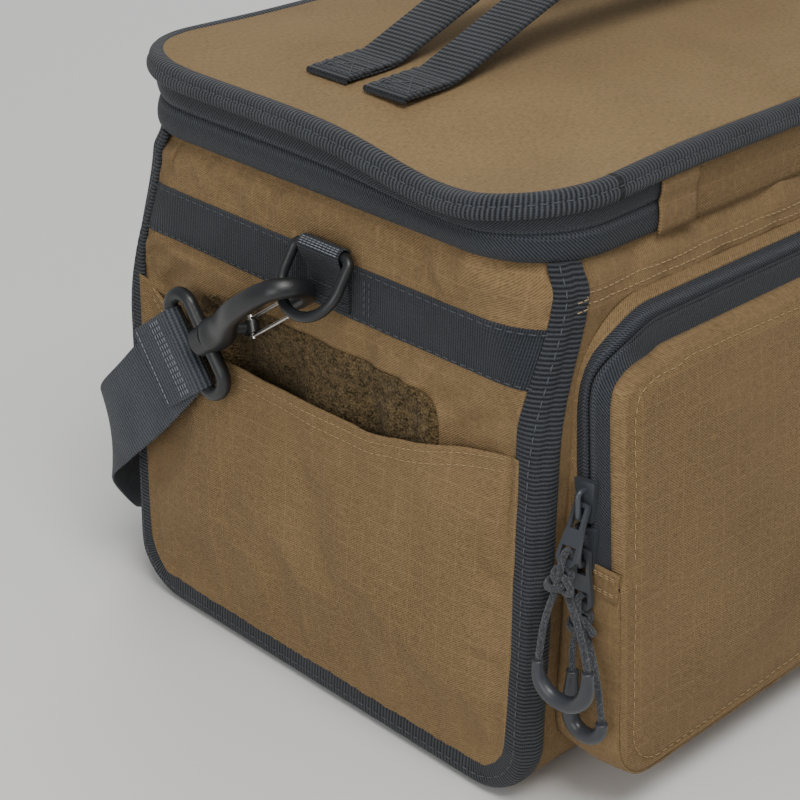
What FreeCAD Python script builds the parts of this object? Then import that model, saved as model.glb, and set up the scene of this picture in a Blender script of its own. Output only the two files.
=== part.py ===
"""Soft-sided battery safety bag: padded box body, zipped lid, zipped front pocket, end pockets,
clip-on shoulder strap. Millimetres, +Z up, X along the bag, the pocket and lid hinge face -Y."""
import FreeCAD, Part
import math
import os
import re
import Sketcher

V = FreeCAD.Vector

DIMS = {
    "bag_length": 400,        # end panel face to end panel face
    "bag_depth": 260,         # front panel face to back panel face
    "bag_shift": -13,         # bag centre behind the origin, so that the strap fits the box
    "wall_top": 252,          # top edge of the four walls
    "boot_top": 34,           # where the bottom panel meets the walls
    "corner": 30,             # bottom corner radius
    "fabric": 2,              # laminated outer cloth
    "foam": 5,                # wall padding
    "liner": 1.2,             # fire-resistant inner cloth
    "board": 3,               # stiff base board
    "gap": 0.3,               # clearance between separate pieces
    "binding_proud": 2.5,     # how far the edge binding stands out of the walls
    "panel_inset": 10,        # end panel's edge inside the bag's outline, under the binding
    "trim_half": 118,         # half width of what is sewn across an end panel
    "zip_split": 264,         # height of the lid zip's closing line
    "zip_half": 11,           # height of one half of the lid zip band
    "rim_radius": 38,         # plan corner radius of the zip band
    "rim_x": 201,             # half length of the zip band
    "rim_y": 124,             # half depth of the zip band
    "zip_end_x": 130,         # where the lid zip stops on the front
    "lid_base": 276,          # underside of the lid panel
    "lid_top": 286,           # top of the lid panel
    "lid_x": 204.2,           # half length of the lid panel
    "lid_y": 126,             # half depth of the lid panel
    "lid_radius": 40,
    "rim_band": 4.5,          # thickness of the lid's edge binding
    "webbing": 25,            # grey webbing width
    "webbing_thick": 1.6,
    "handle_end": 169,        # handle webbing ends
    "handle_rise": 31,        # how far the handles stand over the lid
    "handle_front_y": -8.5,   # centre line of the front handle strap
    "handle_rear_y": 26.5,
    "strap_low": 200,         # lower edge of the webbing across each end
    "sleeve_low": 13,         # slip pocket on each end
    "sleeve_top": 160,
    "sleeve_bulge": 10,
    "patch_low": 78,          # hook-and-loop panel on each end
    "patch_top": 183,
    "patch_half": 76,
    "ring_y": -11,            # centre of the D-ring
    "ring_z": 229,            # its bar
    "ring_out": 6.6,          # bar centre outside the end panel
    "ring_half": 16.6,        # half width of the ring's centre line
    "ring_leg": 13,           # straight part of its legs
    "ring_wire": 4.8,         # wire diameter
    "ring_tilt": 32,          # degrees away from the panel
    "pocket_x": 182,          # half width of the front pocket
    "pocket_low": 24,
    "pocket_top": 230,
    "pocket_split": 121,      # where the pocket flap folds
    "pocket_round": 38,       # top corner radius of the pocket
    "pocket_front_top": 150,  # pocket front at its top, from the bag centre
    "pocket_front_low": 166,  # and at its bottom
    "zip_line_top": 135.2,    # pocket zip closing line at the top, from the bag centre
    "zip_line_bend": 205,     # height at which it starts to lean out
    "zip_line_low": 143.0,    # closing line at the fold
    "divider_x": 64,          # place of the two dividers
    "divider_thick": 6,
    "divider_top": 215,
    "strap_width": 40,        # shoulder webbing
    "strap_thick": 1.8,
    "strap_run_y": 163,       # where the strap lies behind the bag
    "strap_run_z": 10.2,
    "strap_run_x": 150,
    "pad_half": 80,
    "pad_x": -20,
    "pad_width": 58,
    "glide_x": 90,           # strap adjuster
}

doc = FreeCAD.newDocument("battery_bag")
sheet = doc.addObject("Spreadsheet::Sheet", "Dims")
for row, (alias, number) in enumerate(DIMS.items(), start=1):
    sheet.set(f"A{row}", alias)
    sheet.set(f"B{row}", str(number))
    sheet.setAlias(f"B{row}", alias)
doc.recompute()

parts = []


def bound(text):
    """Turn each dimension word of an expression into a reference to the sheet."""
    return re.sub(r"[a-z][a-z_]*", lambda word: "Dims." + word.group(0)
                  if word.group(0) in DIMS else word.group(0), str(text))


probe = doc.addObject("App::FeaturePython", "Probe")


def value(text):
    """The number that an expression of sheet dimensions stands for."""
    return float(probe.evalExpression(bound(text)))


def place(obj, x="0", y="0", z="0"):
    """Bind an object's position to the sheet."""
    for axis, text in zip("xyz", (x, y, z)):
        if str(text) != "0":
            obj.setExpression(f"Placement.Base.{axis}", bound(text))
    return obj


def keep(obj, label):
    """Name a finished sub-part and shift it with the bag."""
    obj.Label = label
    bindings = {entry[0].lstrip("."): entry[1] for entry in obj.ExpressionEngine}
    own = bindings.get("Placement.Base.y", str(obj.Placement.Base.y))
    obj.setExpression("Placement.Base.y", f"{own} + Dims.bag_shift")
    parts.append(obj)
    return obj


# ---------------------------------------------------------------- building blocks

def sketch_outline(body, plane, outlines):
    """A sketch of closed polygons whose corners are bound to the sheet."""
    sketch = body.newObject("Sketcher::SketchObject", "Outline")
    support = [f for f in body.Origin.OriginFeatures if f.Role == plane + "_Plane"][0]
    sketch.AttachmentSupport = [(support, "")]
    sketch.MapMode = "FlatFace"
    first = 0
    for corners in outlines:
        spots = [V(value(a), value(b), 0) for a, b in corners]
        count = len(spots)
        for i in range(count):
            sketch.addGeometry(Part.LineSegment(spots[i], spots[(i + 1) % count]), False)
        for i in range(count):
            following = first + (i + 1) % count
            sketch.addConstraint(Sketcher.Constraint("Coincident", first + i, 2, following, 1))
        for i, (a, b) in enumerate(corners):
            for kind, text, number in (("DistanceX", a, spots[i].x), ("DistanceY", b, spots[i].y)):
                index = sketch.addConstraint(
                    Sketcher.Constraint(kind, -1, 1, first + i, 1, number))
                sketch.setExpression(f"Constraints[{index}]", bound(text))
        first += count
    return sketch


def pad(plane, outlines, length, start=("0", "0", "0")):
    """A body padded from closed outlines; start is the place of the sketch's origin."""
    body = doc.addObject("PartDesign::Body", "Body")
    sketch = sketch_outline(body, plane, outlines)
    feature = body.newObject("PartDesign::Pad", "Pad")
    feature.Profile = sketch
    feature.setExpression("Length", bound(length))
    if plane == "XZ":
        feature.Reversed = True
    place(body, *start)
    doc.recompute()
    return body


def round_edges(body, radius, along, test):
    """Round the straight edges that run along an axis and whose middle passes the test."""
    base = body.Tip
    names = []
    for index, edge in enumerate(base.Shape.Edges, start=1):
        run = edge.Vertexes[-1].Point - edge.Vertexes[0].Point
        if edge.Curve.TypeId != "Part::GeomLine" or run.Length < 1e-6:
            continue
        if abs(run.normalize().dot(along)) > 0.999 and test(edge.CenterOfMass):
            names.append(f"Edge{index}")
    feature = body.newObject("PartDesign::Fillet", "Fillet")
    feature.Base = (base, names)
    feature.setExpression("Radius", bound(radius))
    body.Tip = feature
    doc.recompute()
    return body


def rectangle(low_a, low_b, high_a, high_b):
    return [(low_a, low_b), (high_a, low_b), (high_a, high_b), (low_a, high_b)]


def block(low, high):
    """A box between two corners, given as expressions."""
    box = doc.addObject("Part::Box", "Block")
    for side, a, b in zip(("Length", "Width", "Height"), low, high):
        box.setExpression(side, bound(f"({b}) - ({a})"))
    return place(box, *low)


def combine(kind, base, tool):
    """A boolean of two objects: Cut, Fuse or Common."""
    result = doc.addObject("Part::" + kind, kind)
    result.Base = base
    result.Tool = tool
    return result


def plain_feature(shape):
    feature = doc.addObject("Part::Feature", "Feature")
    feature.Shape = shape
    return feature


def rounded_path(points, radii, closed=False):
    """Straight runs joined by tangent arcs. A single radius serves every corner."""
    count = len(points)
    if not isinstance(radii, (list, tuple)):
        radii = [radii] * count
    corners = range(count) if closed else range(1, count - 1)
    edges = []
    last = points[0]
    closing = None
    for i in corners:
        here, before, after = points[i], points[i - 1], points[(i + 1) % count]
        back = (before - here).normalize()
        ahead = (after - here).normalize()
        half_turn = (math.pi - back.getAngle(ahead)) / 2
        cut = radii[i] * math.tan(half_turn)
        start, end = here + back * cut, here + ahead * cut
        centre = here + (back + ahead).normalize() * (radii[i] / math.cos(half_turn))
        middle = centre + (here - centre).normalize() * radii[i]
        if closed and closing is None:
            closing = start
        else:
            edges.append(Part.LineSegment(last, start).toShape())
        edges.append(Part.Arc(start, middle, end).toShape())
        last = end
    edges.append(Part.LineSegment(last, closing if closed else points[-1]).toShape())
    return Part.Wire(edges)


def tube(path, radius):
    """A round bar along a path."""
    edge = path.Edges[0]
    start = edge.valueAt(edge.FirstParameter)
    tangent = edge.tangentAt(edge.FirstParameter)
    ring = Part.Wire([Part.Circle(start, tangent, radius).toShape()])
    shape = path.makePipeShell([ring], True, True)
    expected = math.pi * radius ** 2 * path.Length
    if abs(shape.Volume / expected - 1) > 0.03:
        raise ValueError(f"tube volume {shape.Volume:.1f} is not {expected:.1f}")
    return shape


def flat_bar(path, across, width, thick):
    """A flat strap along a planar path; across is the direction of its width."""
    edge = path.Edges[0]
    start = edge.valueAt(edge.FirstParameter)
    up = edge.tangentAt(edge.FirstParameter).cross(across).normalize()
    corners = [start + across * (a * width / 2) + up * (b * thick / 2)
               for a, b in ((-1, -1), (1, -1), (1, 1), (-1, 1))]
    section = Part.makePolygon(corners + corners[:1])
    return path.makePipeShell([section], True, False)


def cylinder_between(start, end, radius):
    run = end - start
    return Part.makeCylinder(radius, run.Length, start, run)


def mirrored(shape, side):
    """The left-hand shape, or its mirror image for the right-hand end."""
    return shape if side < 0 else shape.mirror(V(0, 0, 0), V(1, 0, 0))


X, Y, Z = V(1, 0, 0), V(0, 1, 0), V(0, 0, 1)
half_x = "bag_length/2"
half_y = "bag_depth/2"
SIDES = (("left", -1), ("right", 1))


def end_span(side, near, far):
    """Lowest and highest X of a layer near..far inside (-) or outside (+) an end panel's face."""
    if side < 0:
        return f"-({half_x}) - ({far})", f"-({half_x}) - ({near})"
    return f"{half_x} + ({near})", f"{half_x} + ({far})"


# ---------------------------------------------------------------- body shell

def trough(low_x, high_x, wide, low_z, high_z, radius):
    """A block along X with rounded lower edges."""
    body = pad("YZ", [rectangle(f"-({wide})", low_z, wide, high_z)],
               f"({high_x}) - ({low_x})", (low_x, "0", "0"))
    middle = value(f"(({low_z}) + ({high_z}))/2")
    return round_edges(body, radius, X, lambda spot: spot.z < middle)


def build_walls():
    wall_x = f"{half_x} - 7.3"
    for label, sign in (("front_panel", -1), ("back_panel", 1)):
        near = f"-({half_y})" if sign < 0 else f"{half_y} - fabric"
        far = f"-({half_y}) + fabric" if sign < 0 else half_y
        keep(block((f"-({wall_x})", near, "boot_top + gap"), (wall_x, far, "wall_top")), label)
    outer = trough(f"-({wall_x})", wall_x, half_y, "0", "boot_top", "corner")
    inner = trough(f"-({wall_x}) - 1", f"{wall_x} + 1", f"{half_y} - fabric",
                   "fabric", "boot_top + 1", "corner - fabric")
    keep(combine("Cut", outer, inner), "bottom_panel")
    for name, side in SIDES:
        low, high = end_span(side, "-2.5", "0")
        keep(trough(low, high, f"{half_y} - panel_inset", "panel_inset", "wall_top", "22"),
             f"end_panel_{name}")
        low, high = end_span(side, "-6.7", "2")
        outer = trough(low, high, f"{half_y} + binding_proud", "0.8", "wall_top", "corner + 2")
        inner = trough(f"{low} - 1", f"{high} + 1", f"{half_y} - panel_inset + gap",
                       "panel_inset - gap", "wall_top + 1", "22")
        keep(combine("Cut", outer, inner), f"edge_binding_{name}")


def build_padding():
    for label, sign in (("front_foam", -1), ("back_foam", 1)):
        face = f"{half_y} - fabric - gap"
        low = f"-({face})" if sign < 0 else f"{face} - foam"
        high = f"-({face}) + foam" if sign < 0 else face
        keep(block(("-190", low, "boot_top"), ("190", high, "wall_top - 2")), label)
    for name, side in SIDES:
        low, high = end_span(side, "-3 - foam + 0.2", "-2.8")
        keep(trough(low, high, f"{half_y} - 14", "16", "wall_top - 2", "20"), f"end_foam_{name}")
    keep(block(("-188", "-98", "fabric + gap"), ("188", "98", "fabric + gap + board")), "base_board")
    outer = trough("-191.5", "191.5", "122.3", "6", "wall_top - 2", "24")
    inner = trough("-191.5 + liner", "191.5 - liner", "122.3 - liner", "6 + liner",
                   "wall_top", "24 - liner")
    keep(combine("Cut", outer, inner), "fire_liner")
    half = "divider_thick/2"
    for label, sign in (("divider_left", -1), ("divider_right", 1)):
        keep(trough(f"{sign}*divider_x - {half}", f"{sign}*divider_x + {half}", "120",
                    "6 + liner + gap", "divider_top", "22"), label)


# ---------------------------------------------------------------- lid and its zip

def ring_body(wide, deep, radius, wall, low, height):
    """An upright band with rounded plan corners."""
    outer = rectangle(f"-({wide})", f"-({deep})", wide, deep)
    inner = rectangle(f"-({wide}) + {wall}", f"-({deep}) + {wall}",
                      f"{wide} - {wall}", f"{deep} - {wall}")
    body = pad("XY", [outer, inner], height, ("0", "0", low))
    edge_x = value(f"{wide} - {wall}/2")
    round_edges(body, radius, Z, lambda spot: abs(spot.x) > edge_x)
    return round_edges(body, f"{radius} - {wall}", Z, lambda spot: abs(spot.x) < edge_x)


def slab(wide, deep, radius, low, height):
    body = pad("XY", [rectangle(f"-({wide})", f"-({deep})", wide, deep)], height, ("0", "0", low))
    return round_edges(body, radius, Z, lambda spot: True)


def build_lid():
    band = ring_body("rim_x", "rim_y", "rim_radius", "fabric", "zip_split - zip_half - 0.5",
                     "zip_half")
    gate = block(("-zip_end_x", "-rim_y - 5", "zip_split - zip_half - 5"),
                 ("zip_end_x", "-rim_y + 10", "zip_split + 5"))
    keep(combine("Cut", band, gate), "zip_tape_body")
    keep(block(("-zip_end_x + 24", "-rim_y - 2", "wall_top + gap"),
               ("zip_end_x - 24", "-rim_y", "zip_split - 0.5")), "lid_hinge_strip")
    tabs = [block((f"{sign}*(zip_end_x - 12) - 11.5", "-rim_y - 2.2", "wall_top + gap"),
                  (f"{sign}*(zip_end_x - 12) + 11.5", "-rim_y + 1.6", "zip_split - 0.5"))
            for sign in (-1, 1)]
    keep(combine("Fuse", *tabs), "zip_end_tabs")
    keep(ring_body("rim_x", "rim_y", "rim_radius", "fabric", "zip_split + 0.5",
                   "zip_half"), "lid_band")
    keep(slab("lid_x", "lid_y", "lid_radius", "lid_base", "lid_top - lid_base"), "lid_panel")
    keep(ring_body("lid_x + gap + rim_band", "lid_y + gap + rim_band", "lid_radius + 4",
                   "rim_band", "lid_base - 3.5", "14"), "lid_binding")
    keep(slab("rim_x - 4", "rim_y - 4", "34", "lid_base - 4.8", "4.5"), "lid_foam")
    keep(slab("rim_x - 4", "rim_y - 4", "34", "lid_base - 6.3", "liner"), "lid_liner")


def build_handles():
    end = value("handle_end")
    base = value("lid_top + webbing_thick/2 + 0.2")
    top = base + value("handle_rise")
    points = [V(-end, 0, base), V(-end + 26, 0, base), V(-70, 0, top - 3), V(0, 0, top),
              V(70, 0, top - 3), V(end - 26, 0, base), V(end, 0, base)]
    path = rounded_path(points, [0, 45, 90, 300, 90, 45, 0])
    for label, y in (("handle_strap_front", "handle_front_y"), ("handle_strap_rear", "handle_rear_y")):
        strap = flat_bar(path, Y, value("webbing"), value("webbing_thick"))
        keep(place(plain_feature(strap), "0", y, "0"), label)


# ---------------------------------------------------------------- ends of the bag

def build_end_trim():
    for name, side in SIDES:
        low, high = end_span(side, "0.2", "0.2 + webbing_thick")
        keep(block((low, "-trim_half", "strap_low"), (high, "trim_half", "strap_low + webbing")),
             f"side_strap_{name}")
        low, high = end_span(side, "0.2", "1.5")
        patch = pad("YZ", [rectangle("-patch_half", "patch_low", "patch_half", "patch_top")],
                    "1.3", (low, "0", "0"))
        keep(round_edges(patch, "12", X, lambda spot: True), f"loop_panel_{name}")
        low, high = end_span(side, "0", "sleeve_bulge + 2")
        frame = trough(low, high, "trim_half", "sleeve_low", "sleeve_top + 10", "22")
        sleeve = plain_feature(mirrored(sleeve_shape(), side))
        keep(combine("Common", sleeve, frame), f"slip_pocket_{name}")


def sleeve_shape():
    """A slack cloth pocket: an arc in plan, closed at the bottom and open at the top."""
    face = -value(half_x) - 0.3
    low, top = value("sleeve_low"), value("sleeve_top")
    bulge, half, cloth = value("sleeve_bulge"), value("trim_half"), 1.5

    def crescent(inset, start):
        arc = Part.Arc(V(face, -half + inset, start), V(face - bulge + inset, 0, start),
                       V(face, half - inset, start)).toShape()
        chord = Part.LineSegment(V(face, half - inset, start), V(face, -half + inset, start))
        return Part.Face(Part.Wire([arc, chord.toShape()]))

    return crescent(0, low).extrude(Z * (top - low)).cut(
        crescent(cloth, low + 2).extrude(Z * (top - low)))


def ring_centre():
    """Middle of the left D-ring's bar."""
    return V(-value(f"{half_x} + ring_out"), value("ring_y"), value("ring_z"))


def ring_shape():
    """A D-ring: bar, two legs and a half circle, leaning away from the panel."""
    half, leg = value("ring_half"), value("ring_leg")
    foot = leg + half
    bar = 4                                   # radius of the two upper corners
    cut = bar * (1 - math.sqrt(0.5))
    arc = Part.Arc(V(0, -half, -leg), V(0, 0, -foot), V(0, half, -leg)).toShape()
    legs = [Part.LineSegment(V(0, half, -leg), V(0, half, -bar)).toShape(),
            Part.Arc(V(0, half, -bar), V(0, half - cut, -cut), V(0, half - bar, 0)).toShape(),
            Part.LineSegment(V(0, half - bar, 0), V(0, -half + bar, 0)).toShape(),
            Part.Arc(V(0, -half + bar, 0), V(0, -half + cut, -cut), V(0, -half, -bar)).toShape(),
            Part.LineSegment(V(0, -half, -bar), V(0, -half, -leg)).toShape()]
    ring = tube(Part.Wire([arc] + legs), value("ring_wire") / 2)
    ring.rotate(V(0, 0, 0), Y, value("ring_tilt"))
    ring.translate(ring_centre())
    return ring


def ring_loop_shape():
    """A folded webbing loop round the D-ring's bar, stitched flat below it."""
    centre = ring_centre()
    half = value("webbing") / 2
    wrap = Part.makeCylinder(4.4, 2 * half, centre - Y * half, Y)
    hole = Part.makeCylinder(value("ring_wire") / 2 + 0.3, 2 * half + 2, centre - Y * (half + 1), Y)
    tongue = Part.makeBox(1.8, 2 * half, 26, V(centre.x + 2.5, centre.y - half, centre.z - 26))
    return wrap.fuse(tongue).cut(hole).removeSplitter()


# ---------------------------------------------------------------- snap hooks

HOOK_TAIL = V(-220, 52, 170)         # where the left hook's axis ends
HOOK_TURN = math.radians(160)        # from facing outwards, through down, to facing the bag
HOOK_NOSE = 11                       # radius of the nose's centre line


def hook_frame():
    """The hook's own axes: along it, across it from spine to gate, and through it."""
    eye = ring_centre()
    reach = value("ring_leg") + value("ring_half") * math.sin(math.pi / 4)
    tilt = math.radians(value("ring_tilt"))
    eye += V(-math.sin(tilt) * reach, value("ring_half") * math.cos(math.pi / 4),
             -math.cos(tilt) * reach)
    along = (HOOK_TAIL - eye).normalize()
    down = (V(0, 0, -1) - along * along.dot(V(0, 0, -1)))
    down = (down - X * down.dot(X)).normalize()
    out = (-X + along * along.dot(X)).normalize()
    across = (down * math.sin(HOOK_TURN) + out * math.cos(HOOK_TURN)).normalize()
    through = along.cross(across).normalize()
    return eye, along, across, through


def hook_point(u, v, n=0):
    eye, along, across, through = hook_frame()
    return eye + along * u + across * v + through * n


def hook_stations():
    """Along the hook from barrel to tip: (u, v) of the centre, half width, half thickness."""
    spine = [(57.5, 0, 7.5, 6.9), (52, -0.2, 7.6, 6.8), (46, -1.2, 7.2, 6.2), (39, -4, 6.6, 5.3),
             (31, -7.6, 5.9, 4.6), (22, -10.2, 5.3, 4.2), (12, -11.2, 4.9, 4), (0, -HOOK_NOSE, 4.6, 3.9)]
    nose = []
    for degrees in (30, 60, 90, 120, 150):
        turn = math.radians(degrees)
        nose.append((-HOOK_NOSE * math.sin(turn), -HOOK_NOSE * math.cos(turn),
                     4.6 - degrees * 0.004, 3.9 - degrees * 0.0015))
    return spine + nose + [(0, HOOK_NOSE, 3.9, 3.6), (4, HOOK_NOSE, 3.8, 3.5), (7, 10.9, 3.5, 3.2)]


def soft_square(centre, wide, deep, half_wide, half_deep):
    """A closed section between an ellipse and a rectangle."""
    points = []
    for k in range(12):
        turn = 2 * math.pi * (k + 0.5) / 12
        a, b = (math.copysign(abs(f(turn)) ** 0.72, f(turn)) for f in (math.cos, math.sin))
        points.append(centre + wide * (half_wide * a) + deep * (half_deep * b))
    curve = Part.BSplineCurve()
    curve.interpolate(Points=points, PeriodicFlag=True)
    return Part.Wire(curve.toShape())


def hook_shape():
    """A moulded snap hook: barrel, tapering spine and nose, lying round the D-ring's wire."""
    through = hook_frame()[3]
    rows = hook_stations()
    centres = [hook_point(u, v) for u, v, *_ in rows]
    sections = []
    for i, (centre, row) in enumerate(zip(centres, rows)):
        before, after = centres[max(i - 1, 0)], centres[min(i + 1, len(rows) - 1)]
        deep = through.cross((after - before).normalize())
        sections.append(soft_square(centre, through, deep, row[2], row[3]))
    body = Part.makeLoft(sections, True, False)
    stem = cylinder_between(hook_point(57, 0), hook_point(67, 0), 3)
    knob = cylinder_between(hook_point(67, 0), hook_point(70, 0), 4.6)
    return body.fuse([hinge_block(), stem, knob]).removeSplitter()


GATE_PIVOT = (44, 12.6)


def gate_shape():
    """A sprung wire gate: two wires side by side from the hinge to the nose."""
    u, v = GATE_PIVOT
    path = rounded_path([hook_point(u, v, -4), hook_point(8.6, v - 0.4, -4),
                         hook_point(8.6, v - 0.4, 4), hook_point(u, v, 4)], [0, 2.5, 2.5, 0])
    pin = cylinder_between(hook_point(u, v, -5.5), hook_point(u, v, 5.5), 1.4)
    return tube(path, 0.9).fuse(pin)


def hinge_block():
    """The hook's block that carries the gate's pin between the two wires."""
    u, v = GATE_PIVOT
    block_part = cylinder_between(hook_point(u, v, -2.8), hook_point(u, v, 2.8), 3.5)
    strut = cylinder_between(hook_point(u + 4, 0), hook_point(u + 0.8, v), 2.7)
    bore = cylinder_between(hook_point(u, v, -7), hook_point(u, v, 7), 1.45)
    return block_part.fuse(strut).cut(bore)


def swivel_shape():
    """The wide loop that takes the shoulder webbing, with the collar the hook turns in."""
    eye, along, across, through = hook_frame()
    down = (V(0, 0, -1) - along * along.dot(V(0, 0, -1)))
    down = (down - X * down.dot(X)).normalize()
    near, far, half = 62.5, 79, 24
    corners = [hook_point(near, 0) + down * half, hook_point(far, 0) + down * half,
               hook_point(far, 0) - down * half, hook_point(near, 0) - down * half]
    loop = tube(rounded_path(corners, 7.5, closed=True), 3.3)
    collar = cylinder_between(hook_point(58.5, 0), hook_point(66.5, 0), 7.2)
    bore = cylinder_between(hook_point(50, 0), hook_point(71, 0), 3.1)
    knob_room = cylinder_between(hook_point(66.7, 0), hook_point(72, 0), 5)
    return loop.fuse(collar).cut(bore).cut(knob_room).removeSplitter()


# ---------------------------------------------------------------- shoulder strap

def strap_stations():
    """Centre, width direction and face direction of the strap, from the left loop to the middle."""
    eye, along, across, through = hook_frame()
    down = (V(0, 0, -1) - along * along.dot(V(0, 0, -1)))
    down = (down - X * down.dot(X)).normalize()
    run_y, run_z, run_x = value("strap_run_y"), value("strap_run_z"), value("strap_run_x")
    return [
        (hook_point(84, 0), down, -X),
        (V(-219, 100, 124), V(0, -0.72, -0.70), -X),
        (V(-216, 127, 98), V(-0.12, -0.67, -0.72), V(-0.96, 0.24, -0.10)),
        (V(-204, 145, 79), V(-0.40, -0.42, -0.80), V(-0.65, 0.75, -0.08)),
        (V(-187, 151, 60), V(-0.68, -0.10, -0.71), V(-0.15, 0.98, 0.05)),
        (V(-171, 154, 40), V(-0.74, 0.16, -0.64), V(0.12, 0.94, 0.28)),
        (V(-155, 158, 22), V(-0.60, 0.64, -0.42), V(0.22, 0.68, 0.69)),
        (V(-run_x + 14, run_y - 1, run_z + 1.6), V(-0.26, 0.94, -0.10), V(0.12, 0.22, 0.96)),
        (V(-run_x + 36, run_y, run_z), V(0, 1, 0), V(0, 0, 1)),
    ]


def between(a, b, c, d, t):
    """The value a fraction t of the way from b to c on a smooth curve through all four."""
    return (b * 2 + (c - a) * t + (a * 2 - b * 5 + c * 4 - d) * t ** 2
            + (b * 3 - a - c * 3 + d) * t ** 3) * 0.5


def strap_sections():
    """The stations with two more smoothly placed between each pair."""
    stations = strap_stations()
    padded = stations[:1] + stations + stations[-1:]
    sections = [[between(*values, step / 3) for values in zip(*padded[i:i + 4])]
                for i in range(len(stations) - 1) for step in range(3)]
    return sections + [list(stations[-1])]


def section_wire(centre, wide, face):
    """A strap's cross-section."""
    wide = wide.normalize()
    face = (face - wide * wide.dot(face)).normalize()
    a, b = value("strap_width") / 2, value("strap_thick") / 2
    corners = [centre - wide * a - face * b, centre + wide * a - face * b,
               centre + wide * a + face * b, centre - wide * a + face * b]
    return Part.makePolygon(corners + corners[:1])


def strap_shape():
    """The shoulder webbing: down from each hook, round the back corners and along the floor."""
    left = Part.makeLoft([section_wire(*s) for s in strap_sections()], True, True)
    run_y, run_z, run_x = value("strap_run_y"), value("strap_run_z"), value("strap_run_x") - 36
    middle = Part.makeBox(2 * run_x, value("strap_width"), value("strap_thick"),
                          V(-run_x, run_y - value("strap_width") / 2,
                            run_z - value("strap_thick") / 2))
    return left.fuse([middle, mirrored(left, 1)]).removeSplitter()


def strap_length():
    """Length of webbing between the two loops."""
    centres = [section[0] for section in strap_sections()]
    arm = sum((b - a).Length for a, b in zip(centres, centres[1:]))
    return 2 * (arm + value("strap_run_x") - 36)


def glide_shape():
    """A three-bar strap adjuster: the webbing runs under its side bars and over its middle bar."""
    x, y, z = value("glide_x"), value("strap_run_y"), value("strap_run_z")
    reach, bar = value("strap_width") / 2 + 2.6, 1.7
    lift = value("strap_thick") / 2 + bar + 0.35
    rails = [Part.makeBox(27, 3.4, 2 * lift + 2 * bar, V(x - 13.5, y + s * reach - 1.7, z - lift - bar))
             for s in (-1, 1)]
    bars = [Part.makeCylinder(bar, 2 * reach, V(x + dx, y - reach, z + dz), Y)
            for dx, dz in ((-11, lift), (0, -lift), (11, lift))]
    return rails[0].fuse(rails[1:] + bars).removeSplitter()


def build_strap():
    for name, side in SIDES:
        keep(plain_feature(mirrored(ring_loop_shape(), side)), f"ring_loop_{name}")
        keep(plain_feature(mirrored(ring_shape(), side)), f"d_ring_{name}")
        keep(plain_feature(mirrored(hook_shape(), side)), f"snap_hook_{name}")
        keep(plain_feature(mirrored(gate_shape(), side)), f"hook_gate_{name}")
        keep(plain_feature(mirrored(swivel_shape(), side)), f"swivel_loop_{name}")
    keep(plain_feature(strap_shape()), "shoulder_strap")
    keep(plain_feature(glide_shape()), "tri_glide")
    top = "strap_run_z - strap_thick/2 - gap"
    pad_body = pad("XY", [rectangle("pad_x - pad_half", "strap_run_y - pad_width/2",
                                    "pad_x + pad_half", "strap_run_y + pad_width/2")],
                   f"{top} - 0.4", ("0", "0", "0.4"))
    keep(round_edges(pad_body, "22", Z, lambda spot: True), "shoulder_pad")


# ---------------------------------------------------------------- front pocket

def pocket_block(inset):
    """The pocket's outer form, or the room inside it."""
    outline = rectangle(f"-(pocket_x - {inset})", f"pocket_low + {inset}",
                        f"pocket_x - {inset}", f"pocket_top - {inset}")
    body = pad("XZ", [outline], "45", ("0", f"-({half_y}) - 45 - gap", "0"))
    middle = value("(pocket_low + pocket_top)/2")
    round_edges(body, f"pocket_round - {inset}", Y, lambda spot: spot.z > middle)
    round_edges(body, f"20 - {inset}", Y, lambda spot: spot.z < middle)
    front = [(f"-({half_y}) - gap - {inset} + {inset}", "0"),
             (f"-pocket_front_low + {inset}", "0"),
             (f"-pocket_front_low + {inset}", "pocket_low"),
             (f"-pocket_front_top + {inset}", "pocket_top"),
             (f"-pocket_front_top + {inset}", "pocket_top + 20"),
             (f"-({half_y}) - gap - {inset} + {inset}", "pocket_top + 20")]
    wedge = pad("YZ", [front], "400", ("-200", "0", "0"))
    return combine("Common", body, wedge)


def closing_line(shift):
    """Points of the zip's closing line, moved towards the bag."""
    return [(f"-zip_line_low + {shift}", "pocket_split + gap"),
            (f"-zip_line_top + {shift}", "zip_line_bend"),
            (f"-zip_line_top + {shift}", "pocket_top + 10")]


def build_pocket():
    shell = combine("Cut", pocket_block("0"), pocket_block("fabric"))
    inward, outward = "-(bag_depth/2) + 5", "-pocket_front_low - 10"
    bag_side = [(inward, "pocket_top + 10"), (inward, "pocket_split + gap")]
    outside = [(outward, "pocket_top + 10"), (outward, "pocket_split + gap")]
    region = pad("YZ", [closing_line("0.3") + bag_side], "400", ("-200", "0", "0"))
    keep(combine("Common", shell, region), "pocket_tape_body")
    region = pad("YZ", [closing_line("-0.3") + outside], "400", ("-200", "0", "0"))
    keep(combine("Common", shell, region), "pocket_flap")
    region = block(("-200", outward, "0"), ("200", inward, "pocket_split - gap"))
    keep(combine("Common", shell, region), "pocket_box")


# ---------------------------------------------------------------- zip sliders and their pulls

PIN_OUT = 4.3                 # the pull tab's pin, outside the tape
TAB_SLOT = 20                 # the cord's slot, below the pin
CORD = 1.5                    # cord radius
GRIP = 3.5                    # moulded grip radius


def slider_shape():
    """A zip slider in its own frame: length along Z, standing out along +X, with a crown."""
    wide, nose = 5.2, 3.4
    plate = Part.makePolygon([V(0.4, -nose, -9), V(0.4, nose, -9), V(0.4, wide, 9),
                              V(0.4, -wide, 9), V(0.4, -nose, -9)])
    body = Part.Face(plate).extrude(X * 2.6)
    crown = tube(rounded_path([V(2, 0, -7), V(7.2, 0, -7), V(7.2, 0, 5), V(2, 0, 5)],
                              [0, 2.4, 2.4, 0]), 1.3)
    return body.fuse(crown).removeSplitter()


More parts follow.
